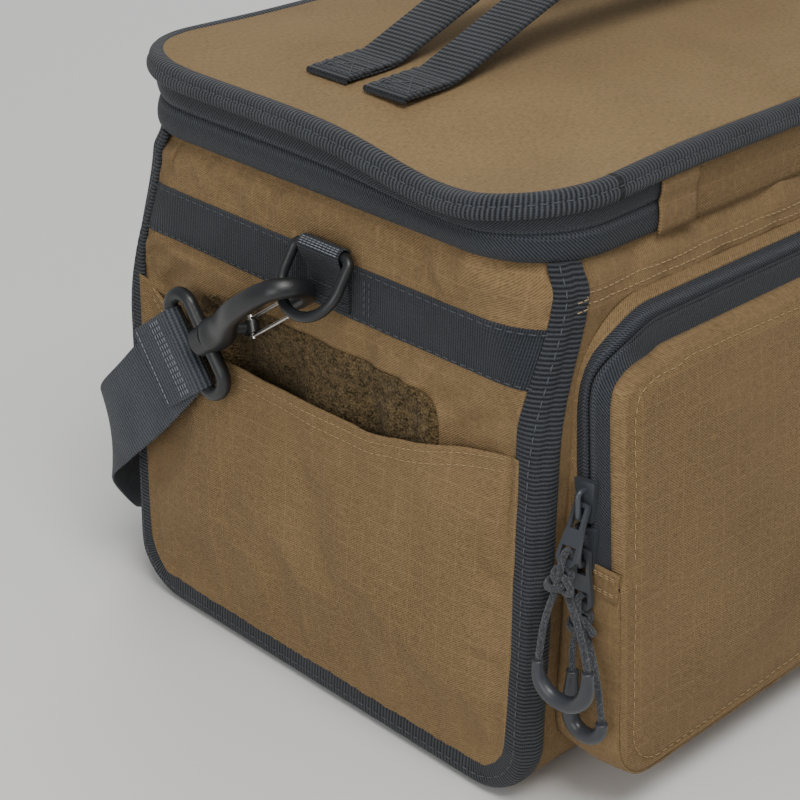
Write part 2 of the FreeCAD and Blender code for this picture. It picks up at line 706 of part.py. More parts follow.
def puller_shape():
    """A pull tab hanging from its top bar at the origin: a long eye and a slot for the cord."""
    outline = [(-3.4, 0.9), (-3.9, -0.6), (-3.9, -8), (-5.3, -19.5), (-5.3, -23), (-3.4, -25.5)]
    outline += [(-y, z) for y, z in outline[::-1]]
    points = [V(-0.95, y, z) for y, z in outline]
    tab = Part.Face(Part.makePolygon(points + points[:1])).extrude(X * 1.9)
    eye = Part.makeBox(4, 4.6, 9.1, V(-2, -2.3, -10))
    slot = Part.makeBox(4, 7, 5, V(-2, -3.5, -TAB_SLOT - 2.5))
    return tab.cut(slot).cut(eye)


def moved(shape, turns, spot):
    """A copy turned by (axis, degrees) pairs and then moved."""
    copy = shape.copy()
    for axis, degrees in turns:
        copy.rotate(V(0, 0, 0), axis, degrees)
    copy.translate(spot)
    return copy


# Each pocket pull: how far up the zip its slider is, how far its tab leans out, the places of
# the two ends of its grip and the height of the grip's lowest point.
PULLS = {
    1: (33, 26, V(-206.5, -138.4, 88), V(-205, -163.1, 93.2), 72.5),
    2: (12, 3, V(-192, -145, 79), V(-192, -162, 61.2), 50.8),
}
KNOT_DROP = 12                # from the tab's slot to the middle of the knot


def zip_lean():
    """Angle of the pocket zip's slanted run from the vertical, in degrees."""
    return math.degrees(math.atan2(value("zip_line_low - zip_line_top"),
                                   value("zip_line_bend - pocket_split")))


def pull_pin(number):
    """Centre of a pocket slider and of its tab's pin."""
    lean = math.radians(zip_lean())
    along = V(0, math.sin(lean), math.cos(lean))
    spot = V(-value("pocket_x"), -value("zip_line_low"), value("pocket_split"))
    spot += along * PULLS[number][0]
    return spot, spot - X * PIN_OUT - along


def pull_frame(number):
    """The tab's slot, the directions down the tab and out from it, and the knot's middle."""
    swing = math.radians(PULLS[number][1])
    down, out = V(-math.sin(swing), 0, -math.cos(swing)), V(-math.cos(swing), 0, math.sin(swing))
    upright = FreeCAD.Rotation(X, -zip_lean())
    down, out = upright.multVec(down), upright.multVec(out)
    slot = pull_pin(number)[1] + down * TAB_SLOT
    return slot, down, out, slot + down * KNOT_DROP


def pull_strands(number):
    """The two strands from the knot to the grip's ends."""
    knot = pull_frame(number)[3]
    return [strand(knot, end, bow) for end, bow in zip(PULLS[number][2:4], (2.5, -2.5))]


def cord_shape(number):
    """The pull cord: a loop through the tab's slot, its knot and two strands to the grip."""
    slot, down, out, knot = pull_frame(number)
    bight = 0.95 + 0.4 + CORD
    loop = rounded_path([knot + out * 1.8, slot + out * bight + down * 5.4,
                         slot + out * bight - down * 0.7, slot - out * bight - down * 0.7,
                         slot - out * bight + down * 5.4, knot - out * 1.8], [0, 3, 2.5, 2.5, 3, 0])
    strands = pull_strands(number)
    report_cord(f"pull cord {number}", [loop] + strands)
    knot_ball = Part.makeSphere(4.6, knot)
    return tube(loop, CORD).fuse([knot_ball] + [tube(path, CORD) for path in strands])


def report_cord(name, paths):
    """Print the radii of a cord's arcs and its volume against section times length."""
    for path in paths:
        radii = [round(edge.Curve.Radius, 1) for edge in path.Edges
                 if edge.Curve.TypeId == "Part::GeomCircle"]
        ratio = tube(path, CORD).Volume / (math.pi * CORD ** 2 * path.Length)
        print(f"{name}: arcs of {radii} mm, volume {ratio:.3f} of section times length")


def strand(knot, end, bow):
    """One gently bowed strand from the knot to an end of the grip."""
    middle = (knot + end) * 0.5 + V(0, bow, 0)
    path = rounded_path([knot, middle, end], 30)
    return path


def grip_shape(number):
    """The moulded grip: a fat tube bent in a U between the ends of the two strands."""
    first, second, low = PULLS[number][2:]
    corners = [V(first.x, first.y, low), V(second.x, second.y, low)]
    bend = 0.48 * math.hypot(second.x - first.x, second.y - first.y)
    grip = tube(rounded_path([first, *corners, second], [0, bend, bend, 0]), GRIP)
    return grip.cut([tube(path, CORD) for path in pull_strands(number)])


def build_sliders():
    lean = zip_lean()
    for number, pull in PULLS.items():
        spot, pin = pull_pin(number)
        keep(plain_feature(moved(slider_shape(), ((Z, 180), (X, -lean)), spot)),
             f"pocket_slider_{number}")
        tab = moved(puller_shape(), ((Y, pull[1]), (X, -lean)), pin)
        keep(plain_feature(tab), f"pocket_puller_{number}")
        keep(plain_feature(cord_shape(number)), f"pull_cord_{number}")
        keep(plain_feature(grip_shape(number)), f"pull_grip_{number}")
    for number, sign in ((1, -1), (2, 1)):
        spot = V(sign * 14, value("rim_y"), value("zip_split"))
        keep(plain_feature(moved(slider_shape(), ((Z, 90), (Y, 90 * sign)), spot)),
             f"lid_slider_{number}")
        pin = spot + Y * PIN_OUT - X * sign
        tab = moved(puller_shape(), ((Z, 90), (Y, -90 * sign), (Z, 6 * sign)), pin)
        keep(plain_feature(tab), f"lid_puller_{number}")


build_walls()
build_padding()
build_lid()
build_handles()
build_end_trim()
build_pocket()
build_strap()
build_sliders()
doc.recompute()
print("shoulder webbing length", round(strap_length()))

bad = [o.Label for o in doc.Objects if "Invalid" in o.State or "Error" in o.State]
for obj in parts:
    if obj.Shape.isNull() or not obj.Shape.isValid():
        bad.append(obj.Label + " shape")
if bad:
    raise RuntimeError("failed: " + ", ".join(bad))

os.makedirs("parts", exist_ok=True)
for obj in parts:
    obj.Shape.exportStep(f"parts/{obj.Label}.step")
print(len(parts), "sub-parts written")
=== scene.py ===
"""A soft box bag for model batteries: cloth, webbing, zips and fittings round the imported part."""
import math

import bmesh
import bpy
import numpy as np
from mathutils import Matrix, Vector, noise
from mathutils.bvhtree import BVHTree


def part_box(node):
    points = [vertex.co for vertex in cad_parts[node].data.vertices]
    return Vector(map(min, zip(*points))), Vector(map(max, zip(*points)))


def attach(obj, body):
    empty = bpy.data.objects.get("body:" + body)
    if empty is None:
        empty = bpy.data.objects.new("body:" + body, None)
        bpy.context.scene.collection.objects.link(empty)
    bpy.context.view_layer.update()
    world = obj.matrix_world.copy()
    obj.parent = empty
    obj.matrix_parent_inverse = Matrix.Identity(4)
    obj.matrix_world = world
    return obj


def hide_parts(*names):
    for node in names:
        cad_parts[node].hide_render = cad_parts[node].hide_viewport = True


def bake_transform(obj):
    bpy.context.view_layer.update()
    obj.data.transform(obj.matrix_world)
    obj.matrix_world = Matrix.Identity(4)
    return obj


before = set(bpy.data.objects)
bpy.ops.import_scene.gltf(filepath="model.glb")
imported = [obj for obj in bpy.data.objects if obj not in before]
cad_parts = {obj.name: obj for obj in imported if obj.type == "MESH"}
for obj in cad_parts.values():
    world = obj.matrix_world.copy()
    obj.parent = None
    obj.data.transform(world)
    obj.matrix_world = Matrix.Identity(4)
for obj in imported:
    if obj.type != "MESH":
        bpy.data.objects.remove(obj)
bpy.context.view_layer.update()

MM = 0.001
END_LOW, END_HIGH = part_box("end_panel_left")
BAG_Y = (END_LOW.y + END_HIGH.y) / 2 / MM       # the bag's middle, behind the row frame's
SIDES = (("left", -1), ("right", 1))


# ------------------------------------------------------------------ small maths

def smooth(a, b, x):
    """0 before a and 1 past b, with a soft rise between."""
    t = np.clip((np.asarray(x, float) - a) / (b - a), 0, 1)
    return t * t * (3 - 2 * t)


def hump(x, centre, width):
    """1 at the centre, falling away to 0 over about twice the width."""
    return np.exp(-((np.asarray(x, float) - centre) / width) ** 2)


def curve_through(points):
    """A softened function of one coordinate close to (x, value) pairs, without overshoot."""
    xs, ys = zip(*sorted(points))
    fine = np.linspace(xs[0], xs[-1], 200)
    raw = np.interp(fine, xs, ys)
    kernel = np.hanning(25)
    padded = np.concatenate([np.full(12, raw[0]), raw, np.full(12, raw[-1])])
    soft = np.convolve(padded, kernel / kernel.sum(), "valid")
    return lambda x: np.interp(x, fine, soft)


def folds(p, q, size, seed, octaves=2):
    """Soft cloth unevenness at two plane coordinates, about -1 to 1."""
    flat = np.stack(np.broadcast_arrays(p, q), -1).reshape(-1, 2)
    out = [noise.fractal(Vector((a / size, b / size, seed)), 1.0, 2.0, octaves) for a, b in flat]
    return np.array(out).reshape(np.broadcast(p, q).shape)


def rounded(corners, radii, step=4.0, closed=False):
    """Evenly spaced points along straight runs with rounded corners, with their distances."""
    pts = [np.array(c, float) for c in corners]
    n = len(pts)
    out = []
    for i, (p, r) in enumerate(zip(pts, radii)):
        if r <= 0 or (not closed and i in (0, n - 1)):
            out.append(p)
            continue
        a, b = pts[i - 1] - p, pts[(i + 1) % n] - p
        a, b = a / np.linalg.norm(a), b / np.linalg.norm(b)
        angle = math.acos(np.clip(a @ b, -1, 1))
        reach = r / math.tan(angle / 2)
        mid = (a + b) / np.linalg.norm(a + b)
        centre = p + mid * (r / math.sin(angle / 2))
        start, end = p + a * reach - centre, p + b * reach - centre
        sweep = math.pi - angle
        count = max(3, int(r * sweep / step) + 1)
        for k in range(count + 1):
            t = k / count
            out.append(centre + (start * math.sin((1 - t) * sweep) + end * math.sin(t * sweep))
                       / math.sin(sweep))
    if closed:
        out.append(out[0])
    return spaced(np.array(out), step)


def spaced(line, step):
    """A line's points moved to equal distances along it."""
    at = distances(line)
    count = max(2, int(round(at[-1] / step)) + 1)
    where = np.linspace(0, at[-1], count)
    return np.stack([np.interp(where, at, line[:, k]) for k in range(line.shape[1])], 1)


def distances(line):
    """How far along a line each of its points is."""
    return np.concatenate([[0], np.cumsum(np.linalg.norm(np.diff(line, axis=0), axis=1))])


def grid(rows, columns):
    """Two arrays of row and column coordinates for a lattice."""
    return np.meshgrid(rows, columns, indexing="ij")


def tangents(line, closed=False):
    """Unit directions along a line at each of its points."""
    if closed:
        d = np.roll(line, -1, 0) - np.roll(line, 1, 0)
    else:
        d = np.gradient(line, axis=0)
    return d / np.linalg.norm(d, axis=1)[:, None]


def unit(v):
    """Vectors scaled to length 1."""
    v = np.asarray(v, float)
    return v / np.maximum(np.linalg.norm(v, axis=-1, keepdims=True), 1e-9)


# ------------------------------------------------------------------ node materials

def nodes_of(name):
    """A new material with a principled shader, its node tree and that shader."""
    mat = bpy.data.materials.new(name)
    mat.use_nodes = True
    tree = mat.node_tree
    tree.nodes.clear()
    out = tree.nodes.new("ShaderNodeOutputMaterial")
    shader = tree.nodes.new("ShaderNodeBsdfPrincipled")
    tree.links.new(shader.outputs[0], out.inputs[0])
    return mat, tree, shader


def add(tree, kind, **settings):
    """A new node; settings named in_... are its inputs."""
    node = tree.nodes.new(kind)
    for key, value in settings.items():
        if key.startswith("in_"):
            node.inputs[key[3:].replace("_", " ")].default_value = value
        else:
            setattr(node, key, value)
    return node


def math_node(tree, op, a, b=None, c=None):
    """The result of one sum on sockets or numbers."""
    node = tree.nodes.new("ShaderNodeMath")
    node.operation = op
    for i, v in enumerate((a, b, c)):
        if v is None:
            continue
        if isinstance(v, (int, float)):
            node.inputs[i].default_value = v
        else:
            tree.links.new(v, node.inputs[i])
    return node.outputs[0]


def total(tree, first, *others):
    """The sum of several values."""
    for value in others:
        first = math_node(tree, "ADD", first, value)
    return first


def scaled(tree, value, factor, shift=0.0):
    """A value times a factor, plus a shift."""
    return math_node(tree, "MULTIPLY_ADD", value, factor, shift)


def mix_colour(tree, factor, a, b):
    """The colour between a and b at a factor."""
    node = tree.nodes.new("ShaderNodeMix")
    node.data_type = "RGBA"
    for socket, v in ((node.inputs[0], factor), (node.inputs[6], a), (node.inputs[7], b)):
        if isinstance(v, (int, float)):
            socket.default_value = v
        elif isinstance(v, tuple):
            socket.default_value = (*v, 1)
        else:
            tree.links.new(v, socket)
    return node.outputs[2]


def tint(tree, shader, tone, dark, light):
    """Colours the shader from dark to light as tone goes from 0 to 1."""
    kept = math_node(tree, "MINIMUM", math_node(tree, "MAXIMUM", tone, 0.0), 1.0)
    tree.links.new(mix_colour(tree, kept, dark, light), shader.inputs["Base Color"])


def gloss(shader, sheen, specular, roughness=None):
    """The shader's uniform values."""
    shader.inputs["Sheen Weight"].default_value = sheen
    shader.inputs["Specular IOR Level"].default_value = specular
    if roughness is not None:
        shader.inputs["Roughness"].default_value = roughness


def uv_parts(tree):
    """The sewing pattern's own coordinates, in millimetres."""
    uv = add(tree, "ShaderNodeUVMap", uv_map="mm")
    split = add(tree, "ShaderNodeSeparateXYZ")
    tree.links.new(uv.outputs[0], split.inputs[0])
    return uv.outputs[0], split.outputs[0], split.outputs[1]


def noise_at(tree, vector, scale, detail=2.0, stretch=None):
    """Cloudy noise at a place."""
    if stretch:
        mapping = add(tree, "ShaderNodeMapping")
        mapping.inputs["Scale"].default_value = stretch
        tree.links.new(vector, mapping.inputs[0])
        vector = mapping.outputs[0]
    node = add(tree, "ShaderNodeTexNoise", in_Scale=scale, in_Detail=detail)
    tree.links.new(vector, node.inputs["Vector"])
    return node.outputs["Fac"]


def bump(tree, shader, height, distance, strength=1.0):
    """Raises the surface by a height."""
    node = add(tree, "ShaderNodeBump", in_Strength=strength, in_Distance=distance)
    tree.links.new(height, node.inputs["Height"])
    tree.links.new(node.outputs[0], shader.inputs["Normal"])


def wave(tree, coordinate, pitch):
    """0 to 1 and back once each pitch."""
    turned = math_node(tree, "MULTIPLY", coordinate, 2 * math.pi / pitch)
    return scaled(tree, math_node(tree, "SINE", turned), 0.5, 0.5)


def line_mask(tree, coordinate, pitch, wide):
    """1 on thin lines once each pitch, 0 between."""
    part = math_node(tree, "FRACT", math_node(tree, "DIVIDE", coordinate, pitch))
    off = math_node(tree, "ABSOLUTE", math_node(tree, "SUBTRACT", part, 0.5))
    return math_node(tree, "SUBTRACT", 1.0,
                     math_node(tree, "MINIMUM", math_node(tree, "MULTIPLY", off, pitch / wide), 1.0))


def ripstop(name, dark, light, cell=8.6, rib=0.2, sheen=0.03):
    """Plain cloth crossed by doubled threads, with faded and shaded patches."""
    mat, tree, shader = nodes_of(name)
    uv, u, v = uv_parts(tree)
    weave = wave(tree, scaled(tree, u, 0.8, v), 1.15)
    slubs = total(tree, noise_at(tree, uv, 1.0, 3.0, (0.35, 1.5, 1.0)),
                  noise_at(tree, uv, 1.0, 3.0, (1.5, 0.35, 1.0)))
    lines = math_node(tree, "MAXIMUM", line_mask(tree, u, cell, 0.55), line_mask(tree, v, cell, 0.55))
    broken = math_node(tree, "MULTIPLY", lines, scaled(tree, noise_at(tree, uv, 0.35, 2.0), 3.4, -1.1))
    patches = noise_at(tree, uv, 0.018, 3.0)
    fibre = scaled(tree, slubs, 0.9, -0.42)
    tint(tree, shader, total(tree, scaled(tree, fibre, 1.1), scaled(tree, weave, 0.45),
                             scaled(tree, broken, rib), scaled(tree, patches, 0.5, -0.25)), dark, light)
    tree.links.new(scaled(tree, fibre, 0.12, 0.78), shader.inputs["Roughness"])
    gloss(shader, sheen, 0.08)
    shader.inputs["Sheen Roughness"].default_value = 0.5
    height = total(tree, scaled(tree, weave, 0.5), scaled(tree, broken, 0.45), scaled(tree, fibre, 0.6))
    bump(tree, shader, height, 0.00035)
    return mat


def ribbed(name, dark, light, pitch, fine=1.0, contrast=0.8, depth=0.0005):
    """Narrow woven tape: ribs across its length, with fine threads between."""
    mat, tree, shader = nodes_of(name)
    uv, u, v = uv_parts(tree)
    ribs, thread = wave(tree, u, pitch), wave(tree, v, fine)
    grain, wear = noise_at(tree, uv, 1.3, 2.0), noise_at(tree, uv, 0.05, 3.0)
    tint(tree, shader, total(tree, scaled(tree, ribs, contrast), scaled(tree, thread, 0.12),
                             scaled(tree, grain, 0.7, -0.35), scaled(tree, wear, 0.4, -0.2)), dark, light)
    tree.links.new(scaled(tree, grain, 0.2, 0.55), shader.inputs["Roughness"])
    gloss(shader, 0.06, 0.2)
    bump(tree, shader, total(tree, ribs, scaled(tree, thread, 0.25), scaled(tree, grain, 0.35)), depth)
    return mat


def herringbone(name, dark, light, pitch=1.5):
    """Zip tape: twill that slants both ways from its closing line, and the coil's teeth beside it."""
    mat, tree, shader = nodes_of(name)
    uv, u, v = uv_parts(tree)
    slant = total(tree, u, scaled(tree, math_node(tree, "ABSOLUTE", v), 0.9))
    twill = wave(tree, slant, pitch)
    teeth = math_node(tree, "MULTIPLY", wave(tree, u, 1.6), hump_mask(tree, v, 2.4, 2.0))
    grain = noise_at(tree, uv, 1.2, 2.0)
    tint(tree, shader, total(tree, scaled(tree, twill, 0.45, 0.1), scaled(tree, teeth, 0.5),
                             scaled(tree, grain, 0.6, -0.3)), dark, light)
    gloss(shader, 0.05, 0.2, 0.6)
    bump(tree, shader, total(tree, scaled(tree, twill, 0.6), teeth, scaled(tree, grain, 0.3)), 0.0005)
    return mat


def hump_mask(tree, coordinate, centre, wide):
    """1 at a distance from the zero line on either side, 0 away from it."""
    off = math_node(tree, "SUBTRACT", math_node(tree, "ABSOLUTE", coordinate), centre)
    share = math_node(tree, "DIVIDE", math_node(tree, "ABSOLUTE", off), wide)
    return math_node(tree, "SUBTRACT", 1.0, math_node(tree, "MINIMUM", share, 1.0))


def pile(name, dark, light, scale=0.9):
    """Loop pile: mottled and rough."""
    mat, tree, shader = nodes_of(name)
    uv = uv_parts(tree)[0]
    loops = noise_at(tree, uv, scale, 3.0)
    clumps = noise_at(tree, uv, scale * 0.28, 2.0)
    tint(tree, shader, total(tree, scaled(tree, loops, 1.9, -0.62), scaled(tree, clumps, 1.0, -0.5)),
         dark, light)
    gloss(shader, 0.05, 0.05, 0.95)
    bump(tree, shader, total(tree, loops, clumps), 0.0018)
    return mat


def moulded(name, colour, roughness, grain=900.0, depth=0.00006, metallic=0.0, edge=0.35, coat=0.0):
    """Moulded plastic or satin metal: fine grain, small scuffs, lighter where handled."""
    mat, tree, shader = nodes_of(name)
    where = add(tree, "ShaderNodeTexCoord").outputs["Object"]
    fine = noise_at(tree, where, grain, 2.0)
    smear = noise_at(tree, where, grain / 14, 3.0)
    lighter = tuple(min(1.0, c * (1 + edge) + 0.004) for c in colour)
    tree.links.new(mix_colour(tree, smear, colour, lighter), shader.inputs["Base Color"])
    tree.links.new(scaled(tree, smear, 0.22, roughness - 0.1), shader.inputs["Roughness"])
    shader.inputs["Metallic"].default_value = metallic
    shader.inputs["Coat Weight"].default_value = coat
    bump(tree, shader, fine, depth)
    return mat


def braided(name, dark, light):
    """Braided cord: slanted strands with pale flecks."""
    mat, tree, shader = nodes_of(name)
    where = add(tree, "ShaderNodeTexCoord").outputs["Object"]
    cells = add(tree, "ShaderNodeTexVoronoi", in_Scale=1500.0)
    tree.links.new(where, cells.inputs["Vector"])
    fleck = noise_at(tree, where, 1300.0, 1.0)
    mask = math_node(tree, "GREATER_THAN", fleck, 0.58)
    base = mix_colour(tree, cells.outputs["Distance"], light, dark)
    tree.links.new(mix_colour(tree, mask, base, (0.070, 0.077, 0.090)), shader.inputs["Base Color"])
    shader.inputs["Roughness"].default_value = 0.7
    shader.inputs["Sheen Weight"].default_value = 0.2
    bump(tree, shader, cells.outputs["Distance"], 0.0005)
    return mat


COYOTE = ripstop("coyote_cloth", (0.076, 0.049, 0.022), (0.250, 0.166, 0.082), rib=0.42)
LID_CLOTH = ripstop("lid_cloth", (0.090, 0.059, 0.026), (0.300, 0.206, 0.104), rib=0.12)
EDGE_TAPE = ribbed("edge_tape", (0.004, 0.005, 0.007), (0.062, 0.068, 0.078), 1.9)
RIM_TAPE = ribbed("rim_tape", (0.006, 0.007, 0.009), (0.076, 0.083, 0.095), 1.9, contrast=0.8)
WEBBING = ribbed("webbing", (0.012, 0.014, 0.018), (0.064, 0.071, 0.082), 1.25, fine=1.6, contrast=0.5,
                 depth=0.0004)
HANDLE = ribbed("handle_webbing", (0.006, 0.007, 0.009), (0.058, 0.064, 0.073), 2.6, fine=1.9,
                contrast=0.7, depth=0.0006)
STRAP = ribbed("strap_webbing", (0.020, 0.024, 0.030), (0.112, 0.124, 0.142), 2.2, fine=1.4,
               contrast=0.5, depth=0.0005)
ZIP_TAPE = herringbone("zip_tape", (0.004, 0.005, 0.007), (0.090, 0.099, 0.114))
PILE = pile("loop_pile", (0.030, 0.020, 0.008), (0.235, 0.165, 0.080))
BLACK = moulded("black_plastic", (0.009, 0.010, 0.011), 0.36)
ENAMEL = moulded("zip_enamel", (0.044, 0.049, 0.057), 0.30, grain=700.0, metallic=0.2)
STEEL = moulded("wire_steel", (0.55, 0.52, 0.48), 0.28, grain=1500.0, metallic=1.0, edge=0.1)
RUBBER = moulded("grip_rubber", (0.024, 0.027, 0.033), 0.38, grain=600.0, coat=0.1)
CORD_MAT = braided("cord_braid", (0.005, 0.006, 0.008), (0.034, 0.038, 0.046))
THREADS = {word: moulded(f"thread_{word}", colour, 0.7, grain=2000.0) for word, colour in (
    ("coyote", (0.29, 0.205, 0.105)), ("grey", (0.060, 0.066, 0.076)), ("pale", (0.15, 0.165, 0.19)))}
FIRE_CLOTH = ripstop("fire_cloth", (0.30, 0.31, 0.32), (0.55, 0.56, 0.57), cell=3.2, rib=0.15)
BRUSHED = pile("brushed_cloth", (0.045, 0.048, 0.055), (0.13, 0.14, 0.155), scale=0.7)
PAD_CLOTH = ribbed("pad_mesh", (0.014, 0.016, 0.020), (0.070, 0.077, 0.090), 2.6, fine=2.6,
                   contrast=0.6, depth=0.0006)


# ------------------------------------------------------------------ meshes

def to_row(points):
    """Bag millimetres to the row frame's metres."""
    return (np.asarray(points, float) + (0, BAG_Y, 0)) * MM


def build(name, verts, faces, uvs, mat):
    """A mesh object from row-frame points, faces and per-point pattern coordinates."""
    mesh = bpy.data.meshes.new(name)
    mesh.from_pydata([tuple(v) for v in verts], [], [tuple(f) for f in faces])
    layer = mesh.uv_layers.new(name="mm")
    index = np.zeros(len(mesh.loops), int)
    mesh.loops.foreach_get("vertex_index", index)
    layer.data.foreach_set("uv", np.asarray(uvs, np.float32)[index].ravel())
    mesh.polygons.foreach_set("use_smooth", np.ones(len(mesh.polygons), bool))
    mesh.materials.append(mat)
    obj = bpy.data.objects.new(name, mesh)
    bpy.context.scene.collection.objects.link(obj)
    return obj


def lattice(name, points, mat, uv=None, wrap=(False, False), flip=False):
    """A mesh from a grid of bag-millimetre points [row, column, xyz]."""
    points = np.asarray(points, float)
    rows, cols = points.shape[:2]
    if uv is None:
        along = np.concatenate([[0], np.cumsum(np.linalg.norm(np.diff(points, axis=0), axis=2).mean(1))])
        wide = np.concatenate([[0], np.cumsum(np.linalg.norm(np.diff(points, axis=1), axis=2).mean(0))])
        uv = np.stack(grid(along, wide), -1)
    index = np.arange(rows * cols).reshape(rows, cols)
    if wrap[0]:
        index = np.vstack([index, index[:1]])
    if wrap[1]:
        index = np.hstack([index, index[:, :1]])
    a, b, c, d = index[:-1, :-1], index[1:, :-1], index[1:, 1:], index[:-1, 1:]
    faces = np.stack([a, d, c, b] if flip else [a, b, c, d], -1).reshape(-1, 4)
    return build(name, to_row(points).reshape(-1, 3), faces, uv.reshape(-1, 2), mat)


def soften(obj, levels=1):
    """Subdivides a piece."""
    sub = obj.modifiers.new("soft", "SUBSURF")
    sub.levels = sub.render_levels = levels


def thicken(obj, mm, offset=-1.0, subdivide=0):
    """Gives a sheet its cloth's thickness, inward from its face unless offset says otherwise."""
    if subdivide:
        soften(obj, subdivide)
    solid = obj.modifiers.new("cloth", "SOLIDIFY")
    solid.thickness, solid.offset = mm * MM, offset
    solid.use_even_offset = False
    return obj


def on(obj, body, slot, *replaced):
    """Puts a piece on its body, in place of the CAD nodes that it stands for; the slot is not used."""
    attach(obj, body)
    if replaced:
        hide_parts(*replaced)
    return obj


def sweep(name, line, a_axis, b_axis, profile, mat, closed_line=False, closed_profile=True, flip=False):
    """A profile of (a, b) pairs carried along a line with its own two axes at each point."""
    line, a_axis, b_axis = (np.asarray(x, float) for x in (line, a_axis, b_axis))
    profile = np.asarray(profile, float)
    if profile.ndim == 2:
        profile = np.broadcast_to(profile, (len(line), *profile.shape))
    pts = line[:, None] + a_axis[:, None] * profile[:, :, :1] + b_axis[:, None] * profile[:, :, 1:2]
    along = distances(line)
    wide = distances(profile[0])
    uv = np.stack(grid(along, wide - wide.mean()), -1)
    obj = lattice(name, pts, mat, uv, (closed_line, closed_profile), flip)
    if closed_profile and not closed_line:
        cap_ends(obj, len(line), profile.shape[1])
    return obj


def cap_ends(obj, rows, cols):
    """Closes the two ends of a swept solid."""
    bm = bmesh.new()
    bm.from_mesh(obj.data)
    bm.verts.ensure_lookup_table()
    for start, back in ((0, False), ((rows - 1) * cols, True)):
        ring = [bm.verts[start + k] for k in range(cols)]
        bm.faces.new(ring if back else ring[::-1])
    bmesh.ops.recalc_face_normals(bm, faces=bm.faces)
    bm.to_mesh(obj.data)
    bm.free()


def strip(wide, thick, crown=0.0):
    """The cross-section of webbing: flat, with rounded edges."""
    half = thick / 2
    across = np.linspace(-wide / 2 + half, wide / 2 - half, 9)
    top = [(a, half + crown * (1 - (2 * a / wide) ** 2)) for a in across]
    edge = [(wide / 2 - half + half * math.sin(t), half * math.cos(t))
            for t in (math.pi / 3, math.pi * 2 / 3)]
    bottom = [(a, -half) for a in across[::-1]]
    other = [(-a, -b) for a, b in edge]
    return top + edge + bottom + other


def circle(radius, count=12):
    """Points evenly spaced round a circle."""
    return [(radius * math.cos(2 * math.pi * k / count), radius * math.sin(2 * math.pi * k / count))
            for k in range(count)]


def tube_along(name, line, radius, mat, count=12, closed=False):
    """A round tube along a line, with a frame that doesn't twist."""
    line = np.asarray(line, float)
    t = tangents(line, closed)
    a = [unit(np.cross(t[0], (0.3, 0.2, 1.0)))]
    for k in range(1, len(line)):
        a.append(unit(a[-1] - t[k] * (a[-1] @ t[k])))
    a = np.array(a)
    radii = np.broadcast_to(radius, (len(line),))
    profile = np.array(circle(1.0, count))[None] * radii[:, None, None]
    return sweep(name, line, a, np.cross(t, a), profile, mat, closed_line=closed)


# ------------------------------------------------------------------ stitching

SEAMS = {}


def stitch(body, line, normal, pitch=4.4, long=3.0, thick=0.55, thread="coyote",
           lift=0.15):
    """Adds a row of single stitches along a line lying on a surface."""
    line = np.asarray(line, float)
    at = distances(line)
    normal = np.broadcast_to(np.asarray(normal, float), line.shape)
    count = max(1, int(at[-1] // pitch))
    for middle in (np.arange(count) + 0.5) * at[-1] / count:
        ends = [np.array([np.interp(middle + s * long / 2, at, line[:, k]) for k in range(3)])
                for s in (-1, 1)]
        n = unit(np.array([np.interp(middle, at, normal[:, k]) for k in range(3)]))
        SEAMS.setdefault((body, thread), []).append((ends[0], ends[1], n, thick, lift))


def sew():
    """One mesh of all the stitches on each body and in each colour."""
    # each ring of a stitch: place along it, size and height, as shares of its length and thickness
    shape = [(-0.5, 0.25, -0.5), (-0.36, 0.9, 0.0), (0.36, 0.9, 0.0), (0.5, 0.25, -0.5)]
    sides = 6
    for (body, thread), rows in SEAMS.items():
        verts, faces = [], []
        for start, end, n, thick, lift in rows:
            d = end - start
            side = unit(np.cross(unit(d), n))
            base = len(verts)
            for along, size, dip in shape:
                centre = (start + end) / 2 + d * along + n * (lift + dip * thick)
                for k in range(sides):
                    turn = 2 * math.pi * k / sides
                    verts.append(centre + (side * math.cos(turn) + n * math.sin(turn)) * size * thick / 2)
            last = len(shape) - 1
            for ring in range(last):
                for k in range(sides):
                    a, b = base + ring * sides + k, base + ring * sides + (k + 1) % sides
                    faces.append((a, b, b + sides, a + sides))
            faces.append(tuple(base + k for k in range(sides - 1, -1, -1)))
            faces.append(tuple(base + last * sides + k for k in range(sides)))
        obj = build(f"stitches_{body}_{thread}", to_row(verts), faces, np.zeros((len(verts), 2)),
                    THREADS[thread])
        on(obj, body, "coyote_ripstop" if thread == "coyote" else "grey_webbing")


# ------------------------------------------------------------------ cloth

CLOTHS = []


def loosen(obj, pinned, pressure, slack, cap, bend=0.6):
    """Queues a sheet to be blown out and wrinkled by the cloth solver, held where pinned is 1."""
    rest = np.array([v.co for v in obj.data.vertices])
    group = obj.vertex_groups.new(name="held")
    for value in np.unique(np.round(pinned, 2)):
        if value > 0:
            index = np.nonzero(np.round(pinned, 2) == value)[0].tolist()
            group.add(index, float(value), "REPLACE")
    mod = obj.modifiers.new("cloth", "CLOTH")
    s = mod.settings
    s.quality, s.mass, s.air_damping = 6, 0.15, 4.0
    s.tension_stiffness = s.compression_stiffness = 12.0
    s.shear_stiffness, s.bending_stiffness = 6.0, bend
    s.tension_damping = s.compression_damping = s.shear_damping = 12.0
    s.bending_damping = 1.0
    s.vertex_group_mass = "held"
    s.shrink_min = s.shrink_max = -slack
    s.use_pressure, s.uniform_pressure_force = True, pressure
    s.effector_weights.gravity = 0.0
    mod.collision_settings.use_collision = False
    mod.collision_settings.use_self_collision = False
    mod.point_cache.frame_start, mod.point_cache.frame_end = 1, 30
    CLOTHS.append((obj, rest, cap))


